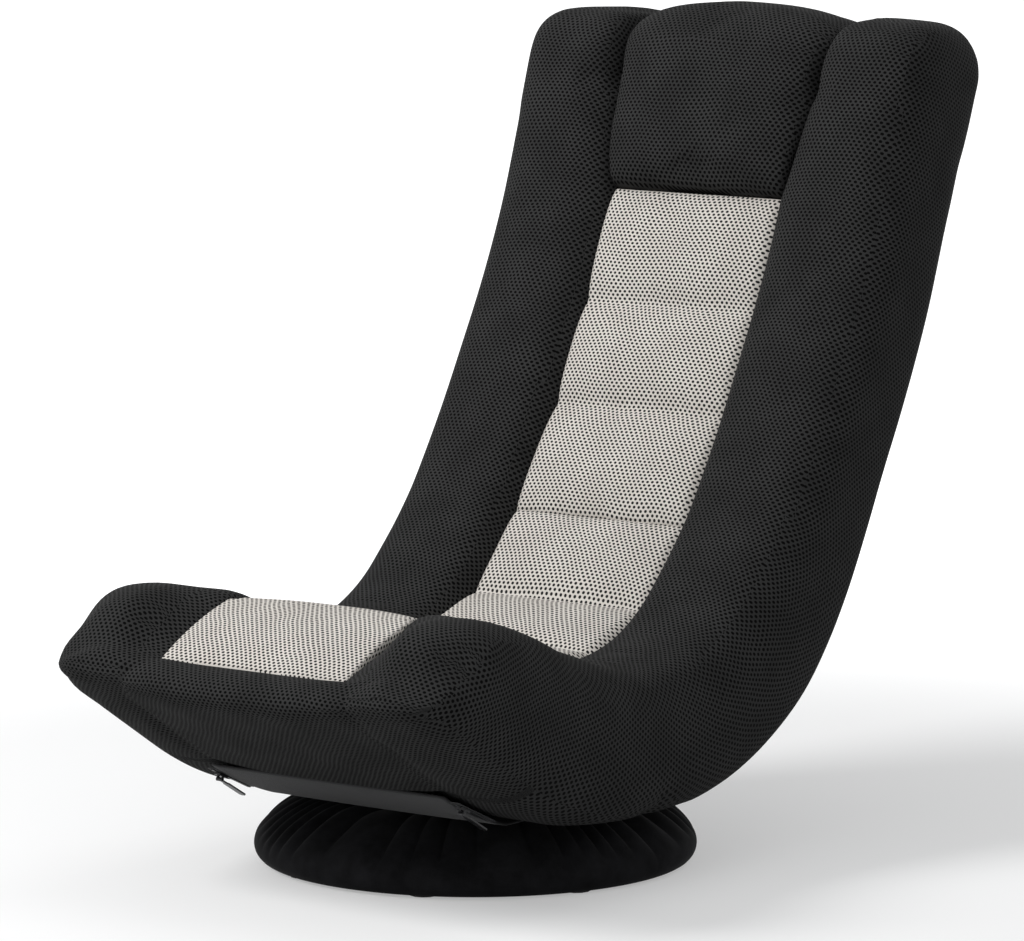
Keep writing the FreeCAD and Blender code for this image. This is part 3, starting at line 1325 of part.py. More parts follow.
def zip_pull(pin, swing):
    """A puller on the slider's pin, swung back from hanging straight down: an eye, a neck and a rounded tab."""
    length = size("zip_pull_length")
    eye = many_sided(side(pin.y, pin.z), 1.9, pin.x - 2.2, pin.x + 2.2)
    tab = Part.makeBox(4.4, 1.6, 9, FreeCAD.Vector(pin.x - 2.2, pin.y - 0.8, pin.z - 10))
    grip = Part.makeBox(8, 1.6, length - 10, FreeCAD.Vector(pin.x - 4, pin.y - 0.8, pin.z - length))
    corners = [e for e in grip.Edges if abs(e.tangentAt(e.FirstParameter).y) > 0.9]
    grip = grip.makeChamfer(2, corners)
    bore = x_cylinder(side(pin.y, pin.z), 0.95, pin.x - 3, pin.x + 3)
    pull = one_solid(eye.fuse([tab, grip]).cut(bore).removeSplitter())
    pull.rotate(pin, ACROSS, swing)
    return pull


def make_zips():
    """The side zips run along the bend's first straight, beside the underside panel; the rear zip runs across."""
    turn = (size("bend_end_angle") - size("lead_angle")) / int(size("bend_steps"))
    front = bend_point(pad_half + gap, size("lead_angle"))
    rear = bend_point(pad_half + gap, size("lead_angle") + turn)
    along = (front - rear).normalize()
    outward = rotated(along, 90)
    x = size("underside_width") / 2 + gap + size("zip_width") / 2
    length = (front - rear).Length - 2 * size("zip_inset")
    print("side zip", "along", along, "length", length)
    zips = []
    for hand, sign in (("left", 1), ("right", -1)):
        origin = at_x(rear + along * size("zip_inset"), sign * x)
        zips.append(zip_bar(origin, along, outward, length))
        slider, pin = zip_slider(origin + along * (length * 0.75), along, outward)
        shaped("side_zip_slider_" + hand, slider)
        shaped("side_zip_pull_" + hand, zip_pull(pin, size("side_pull_swing")))
        print("side zip pin", hand, pin)
    shaped("side_zips", Part.makeCompound(zips))
    angle = size("rear_zip_angle")
    outward = inward(angle) * -1
    wide = size("rear_panel_width") / 2 - 10
    origin = at_x(back_point(pad_half + gap + 0.2, angle), -wide)
    shaped("rear_zip", zip_bar(origin, ACROSS, outward, 2 * wide))
    slider, pin = zip_slider(origin + ACROSS * (2 * wide * 0.08), ACROSS, outward)
    shaped("rear_zip_slider", slider)
    shaped("rear_zip_pull", zip_pull(pin, 0))
    print("rear zip pin", pin)


def report():
    problems = [o.Name for o in doc.Objects if "Invalid" in o.State or "Error" in o.State]
    for obj in nodes:
        shape = obj.Shape
        if shape.isNull() or not shape.isValid() or not shape.Solids:
            problems.append(obj.Label)
    if problems:
        raise SystemExit("failed: " + ", ".join(problems))


def main():
    make_base_hoop()
    make_arches()
    make_feet()
    make_cover()
    make_base_padding()
    make_swivel()
    make_bridges()
    make_bolts()
    make_frame()
    make_hinges()
    room = frame_room()
    make_seat_cushions(room["seat"])
    make_lumbar_cushions(room["lumbar"])
    make_back_cushions(room["back"])
    make_head_cushions(room["back"])
    make_bend_foams(hinge_room())
    make_panels()
    make_zips()
    doc.recompute()
    report()
    os.makedirs("parts", exist_ok=True)
    for obj in nodes:
        obj.Shape.exportStep("parts/%s.step" % obj.Label)
    print("sub-parts:", len(nodes))


main()
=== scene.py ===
import bpy
import bmesh
import math
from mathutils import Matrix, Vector


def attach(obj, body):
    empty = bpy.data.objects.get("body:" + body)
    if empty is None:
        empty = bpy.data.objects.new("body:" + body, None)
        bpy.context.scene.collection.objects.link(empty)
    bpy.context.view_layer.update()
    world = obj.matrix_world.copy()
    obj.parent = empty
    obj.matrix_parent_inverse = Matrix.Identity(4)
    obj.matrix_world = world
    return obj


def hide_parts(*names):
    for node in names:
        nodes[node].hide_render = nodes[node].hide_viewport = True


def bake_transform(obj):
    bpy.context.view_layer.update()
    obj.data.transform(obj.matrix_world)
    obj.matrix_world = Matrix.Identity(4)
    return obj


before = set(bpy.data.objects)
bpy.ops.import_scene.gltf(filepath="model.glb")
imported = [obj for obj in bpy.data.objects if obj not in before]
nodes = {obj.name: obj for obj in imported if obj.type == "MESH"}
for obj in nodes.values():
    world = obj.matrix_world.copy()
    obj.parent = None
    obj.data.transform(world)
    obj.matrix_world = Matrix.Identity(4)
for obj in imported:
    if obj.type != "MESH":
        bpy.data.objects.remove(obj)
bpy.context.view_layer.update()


# Colours and materials.

MIX_A, MIX_B, MIXED = 6, 7, 2  # a Mix node's two colour inputs and its colour output


def linear(hex_colour):
    """An sRGB hex colour as linear RGBA."""
    parts = [int(hex_colour[i:i + 2], 16) / 255 for i in (1, 3, 5)]
    return tuple(c / 12.92 if c <= 0.04045 else ((c + 0.055) / 1.055) ** 2.4 for c in parts) + (1.0,)


def feed(tree, node, values):
    """Gives a node's inputs a value each, or another node's output."""
    for name, value in values.items():
        socket = node.inputs[name]
        if isinstance(value, bpy.types.NodeSocket):
            tree.links.new(value, socket)
        else:
            socket.default_value = value


def add(tree, kind, inputs=None, **settings):
    """Adds a node; settings are its own properties, and inputs are fed to its sockets."""
    made = tree.nodes.new(kind)
    for name, value in settings.items():
        setattr(made, name, value)
    feed(tree, made, inputs or {})
    return made


def material(name):
    """A new material with its tree and its shader, linked to the output."""
    made = bpy.data.materials.new(name)
    made.use_nodes = True
    tree = made.node_tree
    tree.nodes.clear()
    shader = add(tree, "ShaderNodeBsdfPrincipled")
    add(tree, "ShaderNodeOutputMaterial", {"Surface": shader.outputs["BSDF"]})
    return made, tree, shader


def to_shader(tree, shader, **values):
    """Sets the shader's sockets, by value or by link."""
    feed(tree, shader, {name.replace("_", " "): value for name, value in values.items()})


PORE_SPACING = 6.0  # mm from pore to pore in a row
ROW_PERIOD = 7.6  # mm over two rows, which are staggered
KNIT_DRIFT = 9.0  # mm, the span over which the rows wander
ROW_WEIGHT = 0.75  # how much the rows count beside the stagger, which makes the pores oval
YARN_FUZZ = 0.25  # height of the yarns' fuzz as a share of a pore's depth


def spacer_mesh(name, yarn, shaded_yarn, pore, sheen):
    """Air mesh: a knitted polyester face over spacer yarns. The face has oval pores in staggered
    rows, 6 mm apart in a row and 3.8 mm from row to row, so each pore is a small well with a
    raised, slightly fuzzy rim; the dark pore colour is painted shade down in each well."""
    made, tree, shader = material(name)
    cloth = add(tree, "ShaderNodeUVMap", uv_map="cloth")
    warp = add(tree, "ShaderNodeTexNoise",
               {"Vector": cloth.outputs["UV"], "Scale": 0.012, "Detail": 2.0})
    pull = add(tree, "ShaderNodeVectorMath", {0: warp.outputs["Color"], 1: (0.5, 0.5, 0.5)},
               operation="SUBTRACT")
    drift = add(tree, "ShaderNodeVectorMath", {0: pull.outputs["Vector"], "Scale": KNIT_DRIFT},
                operation="SCALE")
    place = add(tree, "ShaderNodeVectorMath", {0: cloth.outputs["UV"], 1: drift.outputs["Vector"]},
                operation="ADD")
    split = add(tree, "ShaderNodeSeparateXYZ", {"Vector": place.outputs["Vector"]})
    across = add(tree, "ShaderNodeMath", {0: split.outputs["X"], 1: math.tau / PORE_SPACING},
                 operation="MULTIPLY")
    along = add(tree, "ShaderNodeMath", {0: split.outputs["Y"], 1: math.tau / ROW_PERIOD},
                operation="MULTIPLY")
    wave_across = add(tree, "ShaderNodeMath", {0: across.outputs[0]}, operation="COSINE")
    wave_along = add(tree, "ShaderNodeMath", {0: along.outputs[0]}, operation="COSINE")
    stagger = add(tree, "ShaderNodeMath", {0: wave_across.outputs[0], 1: wave_along.outputs[0]},
                  operation="MULTIPLY")
    rows = add(tree, "ShaderNodeMath", {0: wave_along.outputs[0], 1: wave_along.outputs[0]},
               operation="MULTIPLY")
    lattice = add(tree, "ShaderNodeMath", {0: rows.outputs[0], 1: ROW_WEIGHT, 2: stagger.outputs[0]},
                  operation="MULTIPLY_ADD")
    well = add(tree, "ShaderNodeMapRange",
               {"Value": lattice.outputs[0], "From Min": 0.32, "From Max": 0.78},
               interpolation_type="SMOOTHSTEP")
    yarns = add(tree, "ShaderNodeTexNoise",
                {"Vector": cloth.outputs["UV"], "Scale": 0.9, "Detail": 3.0})
    patches = add(tree, "ShaderNodeTexNoise",
                  {"Vector": cloth.outputs["UV"], "Scale": 0.02, "Detail": 2.0})
    tone = add(tree, "ShaderNodeMapRange",
               {"Value": patches.outputs["Fac"], "From Min": 0.35, "From Max": 0.65})
    face = add(tree, "ShaderNodeMix",
               {"Factor": tone.outputs["Result"], MIX_A: linear(shaded_yarn), MIX_B: linear(yarn)},
               data_type="RGBA")
    fuzz = add(tree, "ShaderNodeMapRange",
               {"Value": yarns.outputs["Fac"], "To Min": 0.0, "To Max": 0.35})
    faded = add(tree, "ShaderNodeMix",
                {"Factor": fuzz.outputs["Result"], MIX_A: face.outputs[MIXED],
                 MIX_B: linear(shaded_yarn)}, data_type="RGBA")
    # the pore colour, mixed in over each well, is painted shade: the dark seen down the pore
    colour = add(tree, "ShaderNodeMix",
                 {"Factor": well.outputs["Result"], MIX_A: faded.outputs[MIXED],
                  MIX_B: linear(pore)}, data_type="RGBA")
    depth = add(tree, "ShaderNodeMath", {0: well.outputs["Result"], 1: -1.0}, operation="MULTIPLY")
    grain = add(tree, "ShaderNodeMath", {0: yarns.outputs["Fac"], 1: YARN_FUZZ, 2: depth.outputs[0]},
                operation="MULTIPLY_ADD")
    relief = add(tree, "ShaderNodeBump",
                 {"Strength": 0.55, "Distance": 0.0011, "Height": grain.outputs[0]})
    to_shader(tree, shader, Base_Color=colour.outputs[MIXED], Roughness=0.88,
              Normal=relief.outputs["Normal"], Sheen_Weight=sheen, Sheen_Roughness=0.55,
              Specular_IOR_Level=0.06)
    return made


THREAD_SCALE = 260.0  # a Wave texture's scale, which sets its bands 1.2 mm apart
CRUMPLE_HEIGHT = 6.0  # height of the crumple beside the weave's


def smooth_cloth(name, colour, shade):
    """Plain woven polyester of the underside and the back: fine threads 0.5 mm apart, drawn 1.2 mm
    apart so that they show, over a faint crumple."""
    made, tree, shader = material(name)
    place = add(tree, "ShaderNodeTexCoord")
    weft = add(tree, "ShaderNodeTexWave",
               {"Vector": place.outputs["Object"], "Scale": THREAD_SCALE, "Distortion": 1.2},
               wave_type="BANDS", bands_direction="X")
    warp = add(tree, "ShaderNodeTexWave",
               {"Vector": place.outputs["Object"], "Scale": THREAD_SCALE, "Distortion": 1.2},
               wave_type="BANDS", bands_direction="Z")
    weave = add(tree, "ShaderNodeMath", {0: weft.outputs["Fac"], 1: warp.outputs["Fac"]},
                operation="MULTIPLY")
    crumple = add(tree, "ShaderNodeTexNoise",
                  {"Vector": place.outputs["Object"], "Scale": 14.0, "Detail": 4.0})
    both = add(tree, "ShaderNodeMath",
               {0: crumple.outputs["Fac"], 1: CRUMPLE_HEIGHT, 2: weave.outputs[0]},
               operation="MULTIPLY_ADD")
    mix = add(tree, "ShaderNodeMix",
              {"Factor": weave.outputs[0], MIX_A: linear(shade), MIX_B: linear(colour)},
              data_type="RGBA")
    relief = add(tree, "ShaderNodeBump",
                 {"Strength": 0.35, "Distance": 0.0006, "Height": both.outputs[0]})
    to_shader(tree, shader, Base_Color=mix.outputs[MIXED], Roughness=0.8,
              Normal=relief.outputs["Normal"], Sheen_Weight=0.15, Sheen_Roughness=0.5,
              Specular_IOR_Level=0.3)
    return made


def velvet_cloth(name, colour, shade):
    """Short-pile velvety polyester: near black, a little paler where the nap is brushed up, with a
    faint sheen at grazing angles."""
    made, tree, shader = material(name)
    place = add(tree, "ShaderNodeTexCoord")
    nap = add(tree, "ShaderNodeTexNoise",
              {"Vector": place.outputs["Object"], "Scale": 30.0, "Detail": 6.0, "Roughness": 0.65})
    pile = add(tree, "ShaderNodeTexNoise",
               {"Vector": place.outputs["Object"], "Scale": 900.0, "Detail": 2.0})
    tone = add(tree, "ShaderNodeMapRange",
               {"Value": nap.outputs["Fac"], "From Min": 0.35, "From Max": 0.7})
    mix = add(tree, "ShaderNodeMix",
              {"Factor": tone.outputs["Result"], MIX_A: linear(shade), MIX_B: linear(colour)},
              data_type="RGBA")
    relief = add(tree, "ShaderNodeBump",
                 {"Strength": 0.3, "Distance": 0.0005, "Height": pile.outputs["Fac"]})
    to_shader(tree, shader, Base_Color=mix.outputs[MIXED], Roughness=0.92,
              Normal=relief.outputs["Normal"], Sheen_Weight=0.05, Sheen_Roughness=0.35,
              Specular_IOR_Level=0.06)
    return made


def coated_steel(name, colour, worn, roughness):
    """Powder-coated tube and flat bar: an even satin skin with a fine orange-peel surface."""
    made, tree, shader = material(name)
    place = add(tree, "ShaderNodeTexCoord")
    peel = add(tree, "ShaderNodeTexNoise",
               {"Vector": place.outputs["Object"], "Scale": 420.0, "Detail": 2.0})
    scuff = add(tree, "ShaderNodeTexNoise",
                {"Vector": place.outputs["Object"], "Scale": 24.0, "Detail": 6.0})
    tone = add(tree, "ShaderNodeMapRange",
               {"Value": scuff.outputs["Fac"], "From Min": 0.55, "From Max": 0.75})
    mix = add(tree, "ShaderNodeMix",
              {"Factor": tone.outputs["Result"], MIX_A: linear(colour), MIX_B: linear(worn)},
              data_type="RGBA")
    gloss = add(tree, "ShaderNodeMapRange",
                {"Value": scuff.outputs["Fac"], "To Min": roughness - 0.08,
                 "To Max": roughness + 0.12})
    relief = add(tree, "ShaderNodeBump",
                 {"Strength": 0.15, "Distance": 0.0003, "Height": peel.outputs["Fac"]})
    to_shader(tree, shader, Base_Color=mix.outputs[MIXED], Roughness=gloss.outputs["Result"],
              Normal=relief.outputs["Normal"], Specular_IOR_Level=0.5)
    return made


def zinc_plate(name, colour, dull):
    """Zinc-plated pressed steel: metallic, with a faint spangle and rolling lines."""
    made, tree, shader = material(name)
    place = add(tree, "ShaderNodeTexCoord")
    spangle = add(tree, "ShaderNodeTexVoronoi", {"Vector": place.outputs["Object"], "Scale": 160.0})
    lines = add(tree, "ShaderNodeTexNoise",
                {"Vector": place.outputs["Object"], "Scale": 60.0, "Detail": 5.0})
    tone = add(tree, "ShaderNodeMapRange", {"Value": spangle.outputs["Distance"], "To Max": 0.6})
    mix = add(tree, "ShaderNodeMix",
              {"Factor": tone.outputs["Result"], MIX_A: linear(colour), MIX_B: linear(dull)},
              data_type="RGBA")
    gloss = add(tree, "ShaderNodeMapRange",
                {"Value": lines.outputs["Fac"], "To Min": 0.28, "To Max": 0.5})
    relief = add(tree, "ShaderNodeBump",
                 {"Strength": 0.1, "Distance": 0.0002, "Height": lines.outputs["Fac"]})
    to_shader(tree, shader, Base_Color=mix.outputs[MIXED], Metallic=1.0,
              Roughness=gloss.outputs["Result"], Normal=relief.outputs["Normal"])
    return made


def moulded(name, colour, roughness, grain_scale):
    """Moulded rubber or plastic: one colour through, with a fine moulded grain."""
    made, tree, shader = material(name)
    place = add(tree, "ShaderNodeTexCoord")
    grain = add(tree, "ShaderNodeTexNoise",
                {"Vector": place.outputs["Object"], "Scale": grain_scale, "Detail": 3.0})
    tone = add(tree, "ShaderNodeMapRange",
               {"Value": grain.outputs["Fac"], "To Min": 0.0, "To Max": 0.5})
    mix = add(tree, "ShaderNodeMix",
              {"Factor": tone.outputs["Result"], MIX_A: linear(colour), MIX_B: linear("#050505")},
              data_type="RGBA")
    relief = add(tree, "ShaderNodeBump",
                 {"Strength": 0.2, "Distance": 0.0003, "Height": grain.outputs["Fac"]})
    to_shader(tree, shader, Base_Color=mix.outputs[MIXED], Roughness=roughness,
              Normal=relief.outputs["Normal"])
    return made


TEETH_APART = 0.003  # metres, as drawn
WAVES_PER_UNIT = 20.0  # a Wave texture runs through this many radians per unit at scale 1


def zip_teeth(name, tape, tooth, direction):
    """Coil zip: a black woven tape with a row of nylon teeth down its middle, 1.6 mm apart, drawn
    3 mm apart so that they show."""
    made, tree, shader = material(name)
    place = add(tree, "ShaderNodeTexCoord")
    rows = add(tree, "ShaderNodeTexWave",
               {"Vector": place.outputs["Object"], "Scale": math.tau / TEETH_APART / WAVES_PER_UNIT},
               wave_type="BANDS", bands_direction=direction)
    step = add(tree, "ShaderNodeMapRange",
               {"Value": rows.outputs["Fac"], "From Min": 0.35, "From Max": 0.65})
    mix = add(tree, "ShaderNodeMix",
              {"Factor": step.outputs["Result"], MIX_A: linear(tape), MIX_B: linear(tooth)},
              data_type="RGBA")
    relief = add(tree, "ShaderNodeBump",
                 {"Strength": 0.6, "Distance": 0.0012, "Height": step.outputs["Result"]})
    to_shader(tree, shader, Base_Color=mix.outputs[MIXED], Roughness=0.45,
              Normal=relief.outputs["Normal"])
    return made


# the last colour of each air mesh is the painted shade down its pores
black_mesh = spacer_mesh("Black polyester air mesh", "#383838", "#303030", "#020202", 0.0)
pale_mesh = spacer_mesh("Pale grey polyester air mesh", "#ded9d2", "#d6d0c9", "#262524", 0.04)
panel_cloth = smooth_cloth("Black woven polyester lining", "#1c1c1e", "#121214")
base_velvet = velvet_cloth("Black brushed velvet cover", "#222224", "#131314")
tube_coat = coated_steel("Black powder-coated steel", "#1c1c1e", "#2b2b2d", 0.42)
plate_zinc = zinc_plate("Zinc-plated steel", "#b9bbbc", "#8f9294")
foot_rubber = moulded("Black moulded rubber", "#1a1a1a", 0.85, 350.0)
ring_plastic = moulded("Black acetal bearing plastic", "#1d1d20", 0.4, 500.0)
side_zip_nylon = zip_teeth("Black nylon coil zip, running forward", "#0d0d0e", "#2e2e31", "Y")
rear_zip_nylon = zip_teeth("Black nylon coil zip, running across", "#0d0d0e", "#2e2e31", "X")
pull_enamel = coated_steel("Black enamelled zinc die casting", "#232325", "#4a4a4d", 0.3)


# The pad's side view, in millimetres. A run is a length along the pad's middle line, 0 where the
# straight nose ends, and a rise is a height from that line towards the sitter.

BEND_CENTRE = (-15.0, 527.0)
BEND_RADIUS = 378.0
LEAD = math.radians(-28.6)  # lean of the straight nose
BEND_END = math.radians(56.0)  # lean where the bend gives way to the back
BACK_RADIUS = 1630.0
HEAD = math.radians(70.2)  # lean of the straight head
BACK_CENTRE = (BEND_CENTRE[0] - math.sin(BEND_END) * (BACK_RADIUS - BEND_RADIUS),
               BEND_CENTRE[1] + math.cos(BEND_END) * (BACK_RADIUS - BEND_RADIUS))
BEND_RUN = BEND_RADIUS * (BEND_END - LEAD)
NECK = BEND_RUN + BACK_RADIUS * (HEAD - BEND_END)
SPLIT = 470.0  # run at which the seat's pieces end and the back's begin
FLOOR_SIDE = 77.0  # height of the seat's flat bottom
FLOOR_BLEND = 3.0  # how softly the underside runs onto it
FLAT_FROM = -60  # run from which the bottom is kept flat
FACE_RISE = 80  # rise of the front face, on which cloth is measured
NOSE_TOP = 430  # no point of the nose is higher


def lean(run):
    """The pad's lean at a run."""
    if run < 0:
        return LEAD
    if run < BEND_RUN:
        return LEAD + run / BEND_RADIUS
    if run < NECK:
        return BEND_END + (run - BEND_RUN) / BACK_RADIUS
    return HEAD


def on_pad(run, rise):
    """(y, z) of a point at that run and rise."""
    angle = lean(run)
    if run < BEND_RUN:
        centre, radius, rest = BEND_CENTRE, BEND_RADIUS, min(run, 0.0)
    else:
        centre, radius, rest = BACK_CENTRE, BACK_RADIUS, max(run - NECK, 0.0)
    y = centre[0] + math.sin(angle) * (radius - rise) + math.cos(angle) * rest
    z = centre[1] - math.cos(angle) * (radius - rise) + math.sin(angle) * rest
    return y, z


def pad_position(y, z):
    """(run, rise) of a point in the side view."""
    lead_end = on_pad(0, 0)
    forward = -(y - lead_end[0]) * math.cos(LEAD) - (z - lead_end[1]) * math.sin(LEAD)
    if forward > 0 and z < NOSE_TOP:
        return -forward, -(y - lead_end[0]) * math.sin(LEAD) + (z - lead_end[1]) * math.cos(LEAD)
    angle = math.atan2(y - BEND_CENTRE[0], BEND_CENTRE[1] - z)
    if angle < BEND_END and z < BEND_CENTRE[1]:
        return (BEND_RADIUS * (max(angle, LEAD) - LEAD),
                BEND_RADIUS - math.hypot(y - BEND_CENTRE[0], z - BEND_CENTRE[1]))
    angle = math.atan2(y - BACK_CENTRE[0], BACK_CENTRE[1] - z)
    if angle < HEAD:
        return (BEND_RUN + BACK_RADIUS * (angle - BEND_END),
                BACK_RADIUS - math.hypot(y - BACK_CENTRE[0], z - BACK_CENTRE[1]))
    neck = on_pad(NECK, 0)
    return (NECK + (y - neck[0]) * math.cos(HEAD) + (z - neck[1]) * math.sin(HEAD),
            -(y - neck[0]) * math.sin(HEAD) + (z - neck[1]) * math.cos(HEAD))


def pad_point(x, run, rise):
    """A point of the pad; behind the nose it is lifted smoothly onto the seat's flat bottom."""
    y, z = on_pad(run, rise)
    if run > FLAT_FROM:
        over = z - FLOOR_SIDE
        z = FLOOR_SIDE + (over + math.sqrt(over * over + FLOOR_BLEND ** 2)) / 2
    return x, y, z


# Curves and sections.

def clamp(value, low, high):
    """The value, held between two limits."""
    return max(low, min(high, value))


def smoothstep(low, high, value):
    """0 up to low and 1 from high on, with an S-shaped rise between."""
    t = clamp((value - low) / (high - low), 0.0, 1.0)
    return t * t * (3 - 2 * t)


def between(a, b, share):
    """The point at a share of the way from a to b."""
    return tuple(first + (second - first) * share for first, second in zip(a, b))


def rounding(radius, over):
    """How far a round corner has pulled in at a distance past its start."""
    return radius - math.sqrt(radius * radius - over * over)


def spread(table, share):
    """A smooth curve through the table's points at a share of its length, by cubic pieces."""
    last = len(table) - 1
    position = share * last
    k = min(int(position), last - 1)
    t = position - k
    before, first, second, after = (table[clamp(k + j, 0, last)] for j in (-1, 0, 1, 2))
    point = []
    for a, b, c, d in zip(before, first, second, after):
        m0, m1 = (c - a) / 2, (d - b) / 2
        point.append(b + t * (m0 + t * (3 * (c - b) - 2 * m0 - m1 + t * (2 * (b - c) + m0 + m1))))
    return tuple(point)


DIRECTIONS = 360  # a section is worked out in this many directions before it is spaced evenly
THINNEST = 0.01  # mm, half of a section's least height


def ring(half_width, half_rise, powers, count):
    """Points round a puffy cross-section, evenly spaced. Four powers square its corners: outer
    front, inner front, inner rear, outer rear."""
    dense = []
    for k in range(DIRECTIONS):
        angle = math.tau * k / DIRECTIONS
        c, s = math.cos(angle), math.sin(angle)
        power = powers[int(angle / (math.pi / 2)) % 4]
        dense.append((half_width * math.copysign(abs(c) ** (2 / power), c),
                      half_rise * math.copysign(abs(s) ** (2 / power), s)))
    lengths = [0.0]
    for a, b in zip(dense, dense[1:] + dense[:1]):
        lengths.append(lengths[-1] + math.hypot(b[0] - a[0], b[1] - a[1]))
    dense.append(dense[0])
    points, k = [], 0
    for i in range(count):
        target = lengths[-1] * i / count
        while lengths[k + 1] < target:
            k += 1
        t = (target - lengths[k]) / max(lengths[k + 1] - lengths[k], 1e-9)
        points.append(between(dense[k], dense[k + 1], t))
    return points


def half_height(front, rear):
    """Half the distance between a section's front and rear point."""
    return max(math.hypot(front[0] - rear[0], front[1] - rear[1]) / 2, THINNEST)


# Meshes.

WELD = 0.00002  # metres, within which vertices are one
CUT = 0.00001  # metres, the tolerance of a cut


def to_object(bm, name):
    """Makes an object of a mesh in the making, which ends with it."""
    mesh = bpy.data.meshes.new(name)
    bm.to_mesh(mesh)
    bm.free()
    made = bpy.data.objects.new(name, mesh)
    bpy.context.scene.collection.objects.link(made)
    return made


def smooth_object(bm, name):
    """Makes an object with smooth shading."""
    made = to_object(bm, name)
    for face in made.data.polygons:
        face.use_smooth = True
    return made


def closed_object(bm, name):
    """Welds the mesh, closes it, turns its faces outwards and makes a smooth object of it."""
    bmesh.ops.remove_doubles(bm, verts=bm.verts, dist=WELD)
    edges = [e for e in bm.edges if e.is_boundary]
    if edges:
        bmesh.ops.holes_fill(bm, edges=edges, sides=0)
    bmesh.ops.recalc_face_normals(bm, faces=bm.faces)
    return smooth_object(bm, name)


def laid_grid(across, along, place):
    """A grid whose every vertex is put in its place, which comes in millimetres."""
    bm = bmesh.new()
    bmesh.ops.create_grid(bm, x_segments=across, y_segments=along, size=0.5)
    for v in bm.verts:
        v.co = Vector(place(v.co.x + 0.5, v.co.y + 0.5)) / 1000
    return bm


def thicken(piece, thickness, offset):
    """Gives a single sheet its cloth's thickness."""
    wall = piece.modifiers.new("cloth thickness", "SOLIDIFY")
    wall.thickness = thickness
    wall.offset = offset


def cut_at(piece, name, run, keep_low):
    """A copy of the piece on one side of the plane square to the pad at that run, closed where it
    was cut."""
    y, z = on_pad(run, 0)
    angle = lean(run)
    along = Vector((0, math.cos(angle), math.sin(angle)))
    bm = bmesh.new()
    bm.from_mesh(piece.data)
    bmesh.ops.bisect_plane(bm, geom=bm.verts[:] + bm.edges[:] + bm.faces[:], dist=CUT,
                           plane_co=Vector((0, y, z)) / 1000, plane_no=along,
                           clear_outer=keep_low, clear_inner=not keep_low)
    rim = [e for e in bm.edges if e.is_boundary]
    if rim:
        bmesh.ops.holes_fill(bm, edges=rim, sides=0)
        for e in rim:
            if e.is_valid:
                e.smooth = False
    return to_object(bm, name)


def paint(piece, finish):
    """Gives a piece its material."""
    piece.data.materials.append(finish)


SWELL_PRESSURE = 4.0
SWELL_FRAMES = 20
STILL = 1e-9  # metres, a step too short to have a direction


def swell(piece, cap):
    """Cloth simulation: the closed cover is blown up a little and settles into soft bulges; no
    vertex moves further than cap, in metres."""
    rest = [v.co.copy() for v in piece.data.vertices]
    cloth = piece.modifiers.new("swell", "CLOTH")
    settings = cloth.settings
    settings.quality = 5
    settings.mass = 0.3
    settings.tension_stiffness = settings.compression_stiffness = 15
    settings.shear_stiffness = 5
    settings.bending_stiffness = 0.6
    settings.effector_weights.gravity = 0
    settings.use_pressure = True
    settings.uniform_pressure_force = SWELL_PRESSURE
    cloth.collision_settings.use_collision = False
    scene = bpy.context.scene
    for frame_number in range(1, SWELL_FRAMES + 1):
        scene.frame_set(frame_number)
    dg = bpy.context.evaluated_depsgraph_get()
    moved = [v.co.copy() for v in piece.evaluated_get(dg).data.vertices]
    piece.modifiers.remove(cloth)
    scene.frame_set(1)
    for v, old, new in zip(piece.data.vertices, rest, moved):
        step = new - old
        v.co = old + step * min(1.0, cap / step.length if step.length > STILL else 1.0)
    piece.data.update()
    return piece


# Cloth coordinates.

ROUND_STRIP_NOSE = [(0, 62), (-60, 62), (-96, 61), (-134, 12), (-168, -34), (-177, -39),
                    (-188, -49), (-196, -62), (-195, -75), (-184, -83), (-134, -87), (-56, -91),
                    (0, -93)]
ROUND_BOLSTER_NOSE = [(0, 74), (-60, 69), (-106, 60), (-139, 46), (-164, 30), (-182, 8),
                      (-193, -25), (-201, -48), (-203, -60), (-198, -71), (-185, -78), (-150, -83),
                      (-60, -89), (0, -93)]
OVER_THE_HEAD = [(NECK + 60, 106), (NECK + 122, 105), (NECK + 151, 96), (NECK + 171, 77),
                 (NECK + 190, 28), (NECK + 197, -16), (NECK + 186, -45), (NECK + 150, -60),
                 (NECK + 60, -58)]
HEAD_CLOTH_FROM = NECK + 60  # run from which the cloth is measured over the head
SIDE_FACING = 0.72  # a face that points this far sideways is a side face
SIDE_SHIFT = 400  # mm by which the side faces' cloth is set apart
STRIP_NOSE_HALF = 0.145  # metres from the middle to the bolster's cloth on the nose


def length_along(line, run, rise):
    """Length of cloth along a line of points to the place nearest to the given one."""
    best, found, total = 1e9, 0.0, 0.0
    for (r0, n0), (r1, n1) in zip(line, line[1:]):
        length = math.hypot(r1 - r0, n1 - n0)
        t = clamp(((run - r0) * (r1 - r0) + (rise - n0) * (n1 - n0)) / length ** 2, 0.0, 1.0)
        away = math.hypot(run - r0 - (r1 - r0) * t, rise - n0 - (n1 - n0) * t)
        if away < best:
            best, found = away, total + length * t
        total += length
    return found


def cloth_run(run):
    """Length of cloth along the pad's front up to a run: shorter than the middle line inside the
    bend."""
    if run < 0:
        return run
    if run < BEND_RUN:
        return run * (BEND_RADIUS - FACE_RISE) / BEND_RADIUS
    return (BEND_RUN * (BEND_RADIUS - FACE_RISE) / BEND_RADIUS
            + (run - BEND_RUN) * (BACK_RADIUS - FACE_RISE) / BACK_RADIUS)


